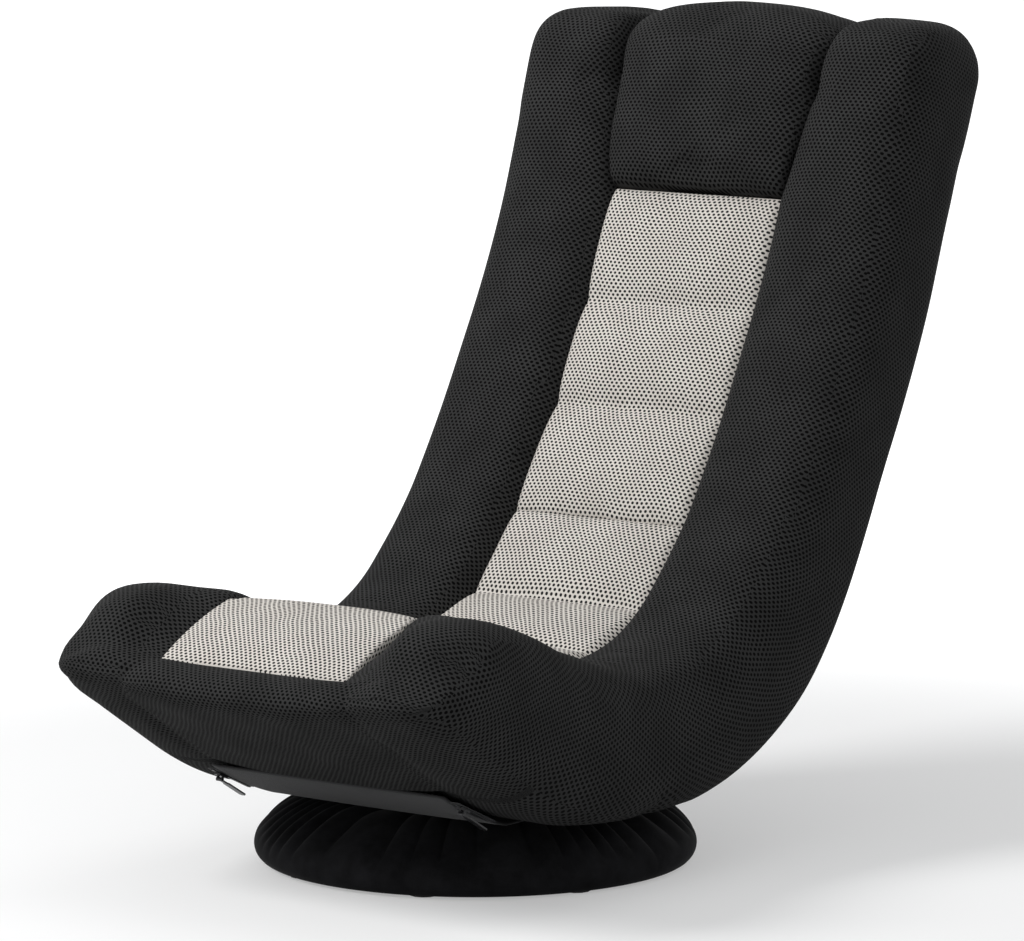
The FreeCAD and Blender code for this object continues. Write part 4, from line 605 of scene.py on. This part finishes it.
def cloth_map(piece):
    """Cloth coordinates in millimetres: across the pad and along it on its front and rear, and up
    the side on its side faces. Round the nose and over the head they run on from the front, as the
    sewn covers do."""
    mesh = piece.data
    layer = mesh.uv_layers.new(name="cloth")
    places = [pad_position(v.co.y * 1000, v.co.z * 1000) for v in mesh.vertices]
    for face in mesh.polygons:
        sideways = face.normal.x
        round_nose = ROUND_BOLSTER_NOSE if abs(face.center.x) > STRIP_NOSE_HALF else ROUND_STRIP_NOSE
        for corner in face.loop_indices:
            index = mesh.loops[corner].vertex_index
            x = mesh.vertices[index].co.x * 1000
            run, rise = places[index]
            if abs(sideways) > SIDE_FACING:
                x, length = rise + math.copysign(SIDE_SHIFT, sideways), cloth_run(run)
            elif run < 0:
                length = -length_along(round_nose, run, rise)
            elif run > HEAD_CLOTH_FROM:
                length = cloth_run(HEAD_CLOTH_FROM) + length_along(OVER_THE_HEAD, run, rise)
            else:
                length = cloth_run(run)
            layer.data[corner].uv = (x, length)


# Halves of a pad, whose placement is baked into their meshes.


def bends(low, high):
    """Bakes the seat half's and the back half's placement into their meshes."""
    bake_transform(low)
    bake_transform(high)


def halves(whole, part):
    """Cuts a whole pad into its seat half and its back half, removes the whole and bakes the halves'
    placement.
    """
    low = cut_at(whole, "cushion_seat_" + part, SPLIT, True)
    high = cut_at(whole, "cushion_back_" + part, SPLIT, False)
    bpy.data.objects.remove(whole)
    bends(low, high)
    return low, high


# Bolsters. Each table goes along the pad, from the nose's tip to the head's, as (run, rise).

N = NECK
BOLSTER_FRONT = [(-203, -60), (-200, -46), (-187, -33), (-182, 8), (-164, 30), (-139, 46),
                 (-106, 60), (-60, 69), (0, 74), (60, 79), (120, 80), (180, 81), (240, 83),
                 (300, 87), (360, 94), (420, 104), (480, 109), (540, 110), (600, 110), (660, 110),
                 (720, 110), (780, 108), (840, 106), (890, 105), (930, 105), (N, 105),
                 (N + 40, 105), (N + 80, 105), (N + 118, 104), (N + 145, 94), (N + 162, 77),
                 (N + 172, 54), (N + 179, 28), (N + 186, 2), (N + 190, -16)]
BOLSTER_REAR = [(-203, -60), (-198, -71), (-185, -78), (-168, -81), (-150, -83), (-132, -84),
                (-104, -86), (-60, -89), (0, -92), (60, -93), (120, -93), (180, -89), (240, -85),
                (300, -84), (360, -83), (420, -81), (480, -73), (540, -65), (600, -60), (660, -56),
                (720, -56), (780, -56), (840, -56), (890, -55), (930, -55), (N, -56),
                (N + 40, -57), (N + 80, -60), (N + 118, -61), (N + 142, -61), (N + 158, -59),
                (N + 171, -53), (N + 182, -43), (N + 189, -29), (N + 190, -16)]
BESIDE_STRIP_FRONT = [(-192, -62), (-186, -50), (-169, -34), (-146, -6), (-132, 12), (-117, 33),
                      (-101, 61), (-62, 75), (0, 80)] + BOLSTER_FRONT[9:]
BESIDE_STRIP_REAR = [(-192, -62), (-190, -72), (-180, -78)] + BOLSTER_REAR[3:]
BOLSTER_INNER, BOLSTER_OUTER = 113.5, 261.0
NOSE_CORNER, NOSE_CORNER_FROM = 72, -131  # radius of the outer corner, and its run
HEAD_CORNER, HEAD_CORNER_FROM = 62, 128  # the same at the head, past the neck
INNER_RETREAT = 30  # mm that the inner edge gives way to the widening head pad
NOSE_NARROWING = 23  # mm that the nose's front lobe is narrower than its rear


def head_widening(run):
    """0 where the head pad begins and 1 where it has its full width."""
    return clamp((run - N + 41) / 230, 0.0, 1.0)


def bolster_sides(run):
    """Inner and outer edge of a bolster: its corners are rounded at the nose and the head."""
    outer = BOLSTER_OUTER
    outer -= rounding(NOSE_CORNER, clamp(NOSE_CORNER_FROM - run, 0.0, NOSE_CORNER - 1))
    outer -= rounding(HEAD_CORNER, clamp(run - N - HEAD_CORNER_FROM, 0.0, HEAD_CORNER))
    outer += smoothstep(N + 30, N + 60, run)
    return BOLSTER_INNER + INNER_RETREAT * head_widening(run), outer


def bolster(name, mirror):
    """A side bolster in one piece; beside the strip it follows the strip's own slope."""
    around, along = 64, 190
    rings = {}

    def place(u, w):
        front, rear = spread(BOLSTER_FRONT, w), spread(BOLSTER_REAR, w)
        run = (front[0] + rear[0]) / 2
        inner, outer = bolster_sides(run)
        half_rise = half_height(front, rear)
        key = round(w * along)
        if key not in rings:
            full = smoothstep(-130, 0, run)
            head = smoothstep(N - 40, N + 60, run)
            powers = (2.6 + 0.8 * full, 7.0 - 2.4 * full + head, 7.0, 3.0)
            rings[key] = ring((outer - inner) / 2, half_rise, powers, around)
        dx, dn = rings[key][round(u * around) % around]
        share = (dn / half_rise + 1) / 2
        x = (inner + outer) / 2 + dx
        narrowing = NOSE_NARROWING * smoothstep(0.35, 0.8, share) * smoothstep(-130, -170, run)
        x -= (x - inner) / (outer - inner) * narrowing
        reach = smoothstep(2, 68, x - inner)
        front = between(spread(BESIDE_STRIP_FRONT, w), front, reach)
        rear = between(spread(BESIDE_STRIP_REAR, w), rear, reach)
        return pad_point(-x if mirror else x, *between(rear, front, share))

    return closed_object(laid_grid(around, along, place), name)


for side, mirror in (("left", False), ("right", True)):
    whole = swell(bolster("bolster_whole", mirror), 0.005)
    cloth_map(whole)
    low, high = halves(whole, "bolster_" + side)
    for piece in (low, high):
        paint(piece, black_mesh)
    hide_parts("seat_bolster_" + side)
    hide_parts("lumbar_bolster_" + side, "back_bolster_" + side, "head_bolster_" + side)


# The core between the bolsters, which also makes the pad's rear.

def body_pad(name, front, rear, half, powers, around, along, droop=0):
    """A pad between two tables of points, front and rear, half as wide as half says at a run; its
    top end droops towards its sides."""
    rings = {}

    def place(u, w):
        a, b = spread(front, w), spread(rear, w)
        half_rise = half_height(a, b)
        width = half((a[0] + b[0]) / 2)
        key = round(w * along)
        if key not in rings:
            rings[key] = ring(width, half_rise, powers, around)
        dx, dn = rings[key][round(u * around) % around]
        run, rise = between(b, a, (dn / half_rise + 1) / 2)
        run -= droop * abs(dx / width) ** 3 * smoothstep(N + 90, N + 190, run)
        return pad_point(dx, run, rise)

    return closed_object(laid_grid(around, along, place), name)


CORE_FRONT = [(-150, -49), (-146, -19), (-130, 8), (-90, 30), (0, 40), (120, 40), (240, 40),
              (360, 40), (480, 41), (600, 42), (720, 42), (840, 42), (900, 42), (N, 40),
              (N + 30, 28), (N + 50, 4), (N + 54, -16)]
CORE_REAR = [(-150, -49), (-146, -69), (-130, -78), (-90, -85), (0, -92), (120, -93),
             (240, -85.5), (360, -83.5), (480, -68.5), (600, -57.5), (720, -56.5), (840, -56.5),
             (900, -56), (N, -56), (N + 38, -56), (N + 52, -44), (N + 54, -16)]
CORE_HALF = 117.0

whole = body_pad("core_whole", CORE_FRONT, CORE_REAR, lambda run: CORE_HALF, (9, 9, 9, 9), 72, 150)
cloth_map(whole)
low, high = halves(whole, "core")
for piece in (low, high):
    paint(piece, black_mesh)
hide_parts("seat_core_foam", "recline_bend_foam")
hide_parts("lumbar_core_foam", "back_core_foam", "fold_bend_foam")


# The pale strip with its channels.

SEAMS = [(-171, -36), (-96, 60), (26, 62), (146, 64), (265, 63), (385, 59), (517, 75), (661, 73),
         (787, 75), (921, 76)]
STRIP_HALF = 118.0
CHANNEL_CROWN, NOSE_CROWN = 15, 9  # mm that a channel and the nose panel stand above their seams
EDGE_DROP = 9  # mm by which the strip's long edges are drawn down
ROW = 5  # mm from one row of vertices to the next
NOSE_ROWS = 26
SKIRT_RISE = 42  # rise to which the strip's sides go down, into the core
NOSE_SKIRT_FROM, NOSE_SKIRT = -90, 22  # before this run they go down this far instead
NOSE_SKIRT_END = -158  # and they reach no further forward than this run
SKIRT_LEAST = 8
SKIRT_TAPER = 0.99


def strip_height(run, x):
    """Rise of the strip's face: seams pulled in, channels crowned, long edges drawn down."""
    seams_passed = sum(seam <= run for seam, rise in SEAMS)
    k = clamp(seams_passed - 1, 1, len(SEAMS) - 2)
    t = (run - SEAMS[k][0]) / (SEAMS[k + 1][0] - SEAMS[k][0])
    level = SEAMS[k][1] + (SEAMS[k + 1][1] - SEAMS[k][1]) * t
    bulge = (max(0.0, 1 - abs(2 * t - 1) ** 2.6)) ** 0.8
    side = abs(x) / STRIP_HALF
    crown = CHANNEL_CROWN * (1 - 0.55 * side ** 3)
    return level + crown * bulge - EDGE_DROP * smoothstep(0.9, 1.0, side)


def nose_panel(share, x):
    """The pale nose panel slopes down from its first seam to the band, slightly crowned."""
    first, second = SEAMS[1], SEAMS[0]
    run, rise = between(first, second, share)
    side = abs(x) / STRIP_HALF
    crown = NOSE_CROWN * math.sin(math.pi * share) ** 0.8 * (1 - 0.4 * side ** 3)
    normal = (second[1] - first[1], -(second[0] - first[0]))
    length = math.hypot(*normal)
    return run + normal[0] / length * crown, rise + normal[1] / length * crown


def strip(name, start, end, with_nose):
    """One slab of the strip: its face is swept over the channels, and its sides go down into the
    core."""
    nose_rows = NOSE_ROWS if with_nose else 0
    rows = nose_rows + int((end - start) / ROW)

    def place(u, w):
        k = round(w * rows)
        x = STRIP_HALF * (2 * u - 1)
        if k < nose_rows:
            run, rise = nose_panel(1 - k / nose_rows, x)
        else:
            run = start + (end - start) * (k - nose_rows) / (rows - nose_rows)
            rise = strip_height(run, x)
        return (x, *on_pad(run, rise))

    bm = laid_grid(40, rows, place)
    bmesh.ops.recalc_face_normals(bm, faces=bm.faces)
    if bm.faces[len(bm.faces) // 2].normal.z < 0:
        bmesh.ops.reverse_faces(bm, faces=bm.faces)
    rim = [e for e in bm.edges if e.is_boundary]
    skirt = bmesh.ops.extrude_edge_only(bm, edges=rim)["geom"]
    for v in [g for g in skirt if isinstance(g, bmesh.types.BMVert)]:
        run, rise = pad_position(v.co.y * 1000, v.co.z * 1000)
        deep = SKIRT_RISE if run > NOSE_SKIRT_FROM else rise - NOSE_SKIRT
        y, z = on_pad(max(run, NOSE_SKIRT_END) if with_nose else run, min(deep, rise - SKIRT_LEAST))
        v.co = Vector((v.co.x * SKIRT_TAPER, y / 1000, z / 1000))
    bottom = [e for e in bm.edges if e.is_boundary]
    bmesh.ops.holes_fill(bm, edges=bottom, sides=0)
    bmesh.ops.triangulate(bm, faces=[f for f in bm.faces if len(f.verts) > 4])
    made = closed_object(bm, name)
    cloth_map(made)
    return made


low = strip("cushion_seat_strip", -96, 517, True)
high = strip("cushion_back_strip", 517, 921, False)
bends(low, high)
for piece in (low, high):
    paint(piece, pale_mesh)
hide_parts("seat_channel_panel")
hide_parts("lumbar_channel_panel", "back_channel_panel")


# Head pad.

HEAD_FRONT = [(N - 41, 58), (N - 42, 74), (N - 38, 88), (N - 26, 97), (N - 6, 102), (N + 24, 105),
              (N + 56, 107), (N + 88, 108), (N + 122, 106), (N + 151, 97), (N + 171, 79),
              (N + 180, 55), (N + 187, 30), (N + 191, 4), (N + 195, -14)]
HEAD_REAR = [(N - 41, 58), (N - 37, 48), (N - 28, 40), (N - 10, 32), (N + 12, 18), (N + 34, -6),
             (N + 48, -34), (N + 56, -52), (N + 74, -58), (N + 100, -60), (N + 126, -60),
             (N + 150, -58), (N + 170, -50), (N + 185, -34), (N + 195, -14)]
HEAD_PAD_HALF, HEAD_PAD_GAIN = 116, 37  # half its width at the bottom, and what it gains upwards
HEAD_PAD_CORNER, HEAD_PAD_CORNER_FROM = 30, 172  # radius of its top corners, past the neck


def head_half(run):
    """Half the head pad's width at a run: it widens upwards and has round top corners."""
    over = clamp(run - N - HEAD_PAD_CORNER_FROM, 0.0, 26.0)
    width = HEAD_PAD_HALF + HEAD_PAD_GAIN * head_widening(run)
    return width - HEAD_PAD_CORNER + math.sqrt(HEAD_PAD_CORNER ** 2 - over * over)


head = body_pad("cushion_head_pad", HEAD_FRONT, HEAD_REAR, head_half, (4.2, 4.2, 4, 4), 88, 90,
                droop=26)
swell(head, 0.006)
cloth_map(head)
paint(head, black_mesh)
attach(head, "back")
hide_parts("head_centre_pad")


# The band round the nose. Its tables go once round it, on the middle line and beside the strip.

BAND_MIDDLE = [(-164, -35), (-175, -39), (-188, -49), (-196, -62), (-195, -75), (-184, -83),
               (-164, -86), (-134, -87), (-96, -90), (-56, -92), (-20, -93.5), (-6, -93),
               (-4, -86), (-18, -76), (-60, -66), (-110, -56), (-148, -46), (-157, -38)]
BAND_SIDE = [(-176, -36), (-184, -41), (-191, -50), (-195, -61), (-192, -71), (-181, -77),
             (-164, -80), (-134, -82), (-96, -84), (-56, -87), (-20, -89), (-6, -89), (-4, -84),
             (-18, -74), (-60, -60), (-110, -48), (-150, -39), (-168, -36)]
BAND_END = 178.0
BAND_CORNER, BAND_CORNER_FROM = 60, 130  # radius of its front corners, from this far out
BAND_HEART = (-110, -71)  # (run, rise) towards which its ends close


def band(name):
    """The band as one closed roll across the pad, which closes inside the bolsters."""
    closed_middle, closed_side = BAND_MIDDLE + BAND_MIDDLE[:1], BAND_SIDE + BAND_SIDE[:1]

    def place(u, w):
        x = BAND_END * math.sin((w - 0.5) * math.pi * 0.999)
        side = smoothstep(60, 150, abs(x))
        run, rise = between(spread(closed_middle, u % 1.0), spread(closed_side, u % 1.0), side)
        pull = rounding(BAND_CORNER, max(0.0, abs(x) - BAND_CORNER_FROM))
        run += pull * (1 - smoothstep(-150, -30, run))
        shrink = math.sqrt(max(0.0, 1 - (abs(x) / (BAND_END + 0.1)) ** 10))
        run = BAND_HEART[0] + (run - BAND_HEART[0]) * (0.25 + 0.75 * shrink)
        rise = BAND_HEART[1] + (rise - BAND_HEART[1]) * shrink
        return (x, *on_pad(run, rise))

    return closed_object(laid_grid(72, 96, place), name)


nose_band = band("cushion_nose_band")
cloth_map(nose_band)
paint(nose_band, black_mesh)
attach(nose_band, "seat")
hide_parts("seat_front_boxing")


# Smooth panels under the seat and behind the back.

LINING = 1.6  # mm, the cloth's thickness, and how far it stands off the core
LINING_BOW = 1.5  # mm that a panel bows out
LINING_BELOW = 2.0  # mm that it may hang below the seat's flat bottom, besides the bow


def rear_level(run):
    """Rise of the core's rear face at a run, between the table's points."""
    k = next(k for k, (end, rise) in enumerate(CORE_REAR) if end >= run)
    (low, first), (high, second) = CORE_REAR[k - 1:k + 1]
    return first + (second - first) * (run - low) / (high - low)


def lining(name, half, start, end):
    """A smooth panel sewn on the pad's underside or rear, a little bowed."""
    def place(u, w):
        bow = LINING_BOW * (1 - (2 * u - 1) ** 2) * math.sin(math.pi * w) ** 0.5
        run = start + (end - start) * w
        y, z = on_pad(run, rear_level(run) - LINING - bow)
        return half * (2 * u - 1), y, max(z, FLOOR_SIDE - LINING_BELOW - LINING_BOW)

    bm = laid_grid(40, 60, place)
    bmesh.ops.recalc_face_normals(bm, faces=bm.faces)
    made = smooth_object(bm, name)
    thicken(made, LINING / 1000, 0.0)
    return made


under = lining("panel_underside", 150, -8, 330)
paint(under, panel_cloth)
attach(under, "seat")
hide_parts("seat_underside_panel")

behind = lining("panel_rear", 190, 812, 976)
paint(behind, panel_cloth)
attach(behind, "back")
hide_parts("back_rear_panel")


# The gathered cover of the base, as (radius, height) from its hem to its top.

COVER = [(206, 3), (214, 1.6), (223, 3), (229, 10), (230.5, 19), (227.5, 29), (221, 38),
         (212, 47), (201, 55), (189, 62), (177, 67.5), (165, 71), (152, 72.5), (138, 72.5),
         (124, 72), (118, 70)]
GATHERS = 40
GATHER_DEPTH = 11.0
COVER_CLOTH = 0.002  # metres


def cover_place(u, w):
    """A point of the cover: gathers of uneven depth and spacing run up from below its rim."""
    radius, height = spread(COVER, w)
    angle = math.tau * u
    wander = 0.10 * math.sin(3 * angle + 0.7) + 0.07 * math.sin(7 * angle + 2.1)
    crease = 1 - abs(math.sin(GATHERS * (angle + wander) / 2)) ** 0.65
    depth = 0.75 + 0.25 * math.sin(5 * angle + 1.0) * math.sin(11 * angle)
    start = 0.24 + 0.06 * math.sin(9 * angle + 4)
    reach = smoothstep(start, 0.56, w) * (1 - 0.4 * smoothstep(0.9, 1.0, w))
    drop = GATHER_DEPTH * depth * crease * reach
    radius -= drop * 0.75
    height -= drop * 0.65
    return radius * math.cos(angle), radius * math.sin(angle), height


cover_bm = laid_grid(512, 48, cover_place)
bmesh.ops.remove_doubles(cover_bm, verts=cover_bm.verts, dist=WELD)
bmesh.ops.recalc_face_normals(cover_bm, faces=cover_bm.faces)
cover = smooth_object(cover_bm, "cover_base")
thicken(cover, COVER_CLOTH, -1.0)
paint(cover, base_velvet)
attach(cover, "base")
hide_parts("base_gathered_cover", "base_foam_ring")


# Finishes of the carried-over CAD nodes.

FINISHES = (
    (tube_coat, ("base_hoop", "base_arches", "seat_bridges", "seat_frame_tube", "seat_cross_tube",
                 "lumbar_tube_left", "lumbar_tube_right", "lumbar_cross_tube", "back_frame_tube",
                 "back_cross_tube")),
    (plate_zinc, ("swivel_lower_plate", "swivel_centre_rivet", "swivel_base_bolts",
                  "swivel_upper_plate", "swivel_seat_bolts", "recline_housings",
                  "recline_pivot_rivets", "recline_pawls", "recline_toothed_arms", "fold_housings",
                  "fold_pivot_rivets", "fold_pawls", "fold_toothed_arms")),
    (pull_enamel, ("side_zip_slider_left", "side_zip_slider_right", "side_zip_pull_left",
                   "side_zip_pull_right", "rear_zip_slider", "rear_zip_pull")),
    (foot_rubber, ("base_feet",)),
    (ring_plastic, ("swivel_bearing_ring",)),
    (side_zip_nylon, ("side_zips",)),
    (rear_zip_nylon, ("rear_zip",)),
)
for finish, names in FINISHES:
    for name in names:
        nodes[name].data.materials.clear()
        paint(nodes[name], finish)


# Floor, light and camera.

def seen_directly(tree):
    """1 on a ray that the camera, a mirror or glass sends out, 0 on the rays that light the
    object."""
    ray = add(tree, "ShaderNodeLightPath")
    seen = add(tree, "ShaderNodeMath",
               {0: ray.outputs["Is Camera Ray"], 1: ray.outputs["Is Glossy Ray"]},
               operation="MAXIMUM")
    return add(tree, "ShaderNodeMath", {0: seen.outputs[0], 1: ray.outputs["Is Transmission Ray"]},
               operation="MAXIMUM")


def floor_material():
    """Matt pale ground. Where the camera, a mirror or glass sees it, it reads white from 2.2 m out,
    and near the object it keeps the shadow."""
    made, tree, shader = material("Plain white floor")
    place = add(tree, "ShaderNodeTexCoord")
    away = add(tree, "ShaderNodeVectorMath", {0: place.outputs["Object"]}, operation="LENGTH")
    level = add(tree, "ShaderNodeMapRange",
                {"Value": away.outputs["Value"], "From Min": 0.8, "From Max": 2.2, "To Min": 0.37,
                 "To Max": 1.0}, interpolation_type="SMOOTHSTEP")
    glow = add(tree, "ShaderNodeMath",
               {0: seen_directly(tree).outputs[0], 1: level.outputs["Result"]},
               operation="MULTIPLY")
    to_shader(tree, shader, Base_Color=linear("#d2d2d2"), Roughness=0.9, Specular_IOR_Level=0.1,
              Emission_Color=(1, 1, 1, 1), Emission_Strength=glow.outputs[0])
    return made


FLOOR_REACH = 30.0  # metres from the middle to the floor's edge
FLOOR_GAP = 0.0005  # metres from the feet to the floor

floor_bm = bmesh.new()
bmesh.ops.create_grid(floor_bm, x_segments=1, y_segments=1, size=FLOOR_REACH)
floor = to_object(floor_bm, "floor")
floor.location.z = -FLOOR_GAP
paint(floor, floor_material())


def lamp(name, place, aim, size, power):
    """A round area lamp that points at its aim."""
    data = bpy.data.lights.new(name, "AREA")
    data.shape = "DISK"
    data.size = size
    data.energy = power
    made = bpy.data.objects.new(name, data)
    bpy.context.scene.collection.objects.link(made)
    made.location = place
    made.rotation_mode = "QUATERNION"
    made.rotation_quaternion = (Vector(aim) - Vector(place)).to_track_quat("-Z", "Y")


lamp("key light", (-2.0, -2.4, 3.0), (0, 0.1, 0.35), 1.8, 122)
lamp("fill light", (2.8, -1.6, 1.6), (0, 0.1, 0.4), 2.0, 10)
lamp("top light", (0.4, 0.8, 3.2), (0, 0.2, 0.3), 2.4, 10)

WORLD_LEVEL = 0.4

world = bpy.data.worlds.new("studio")
bpy.context.scene.world = world
world.use_nodes = True
tree = world.node_tree
tree.nodes.clear()
soft = add(tree, "ShaderNodeBackground", {"Color": linear("#f4f6f8"), "Strength": WORLD_LEVEL})
white = add(tree, "ShaderNodeBackground", {"Color": (1, 1, 1, 1), "Strength": 1.0})
mix = add(tree, "ShaderNodeMixShader",
          {0: seen_directly(tree).outputs[0], 1: soft.outputs[0], 2: white.outputs[0]})
add(tree, "ShaderNodeOutputWorld", {"Surface": mix.outputs[0]})

AZIMUTH, ELEVATION = math.radians(37.0), math.radians(7.7)
DISTANCE = 6.41  # metres from the aim
AIM = Vector((-0.033, 0.107, 0.3915))
FOCAL_PIXELS = 6101.0
FRAME_WIDTH = 1024.0
SENSOR = 36.0

back = Vector((math.sin(AZIMUTH) * math.cos(ELEVATION), -math.cos(AZIMUTH) * math.cos(ELEVATION),
               math.sin(ELEVATION)))
camera_data = bpy.data.cameras.new("camera")
camera_data.sensor_width = SENSOR
camera_data.lens = SENSOR * FOCAL_PIXELS / FRAME_WIDTH
camera_data.clip_end = 60.0
camera = bpy.data.objects.new("camera", camera_data)
bpy.context.scene.collection.objects.link(camera)
camera.location = AIM + back * DISTANCE
camera.rotation_mode = "QUATERNION"
camera.rotation_quaternion = (-back).to_track_quat("-Z", "Y")
bpy.context.scene.camera = camera
bpy.context.scene.view_settings.view_transform = "Standard"
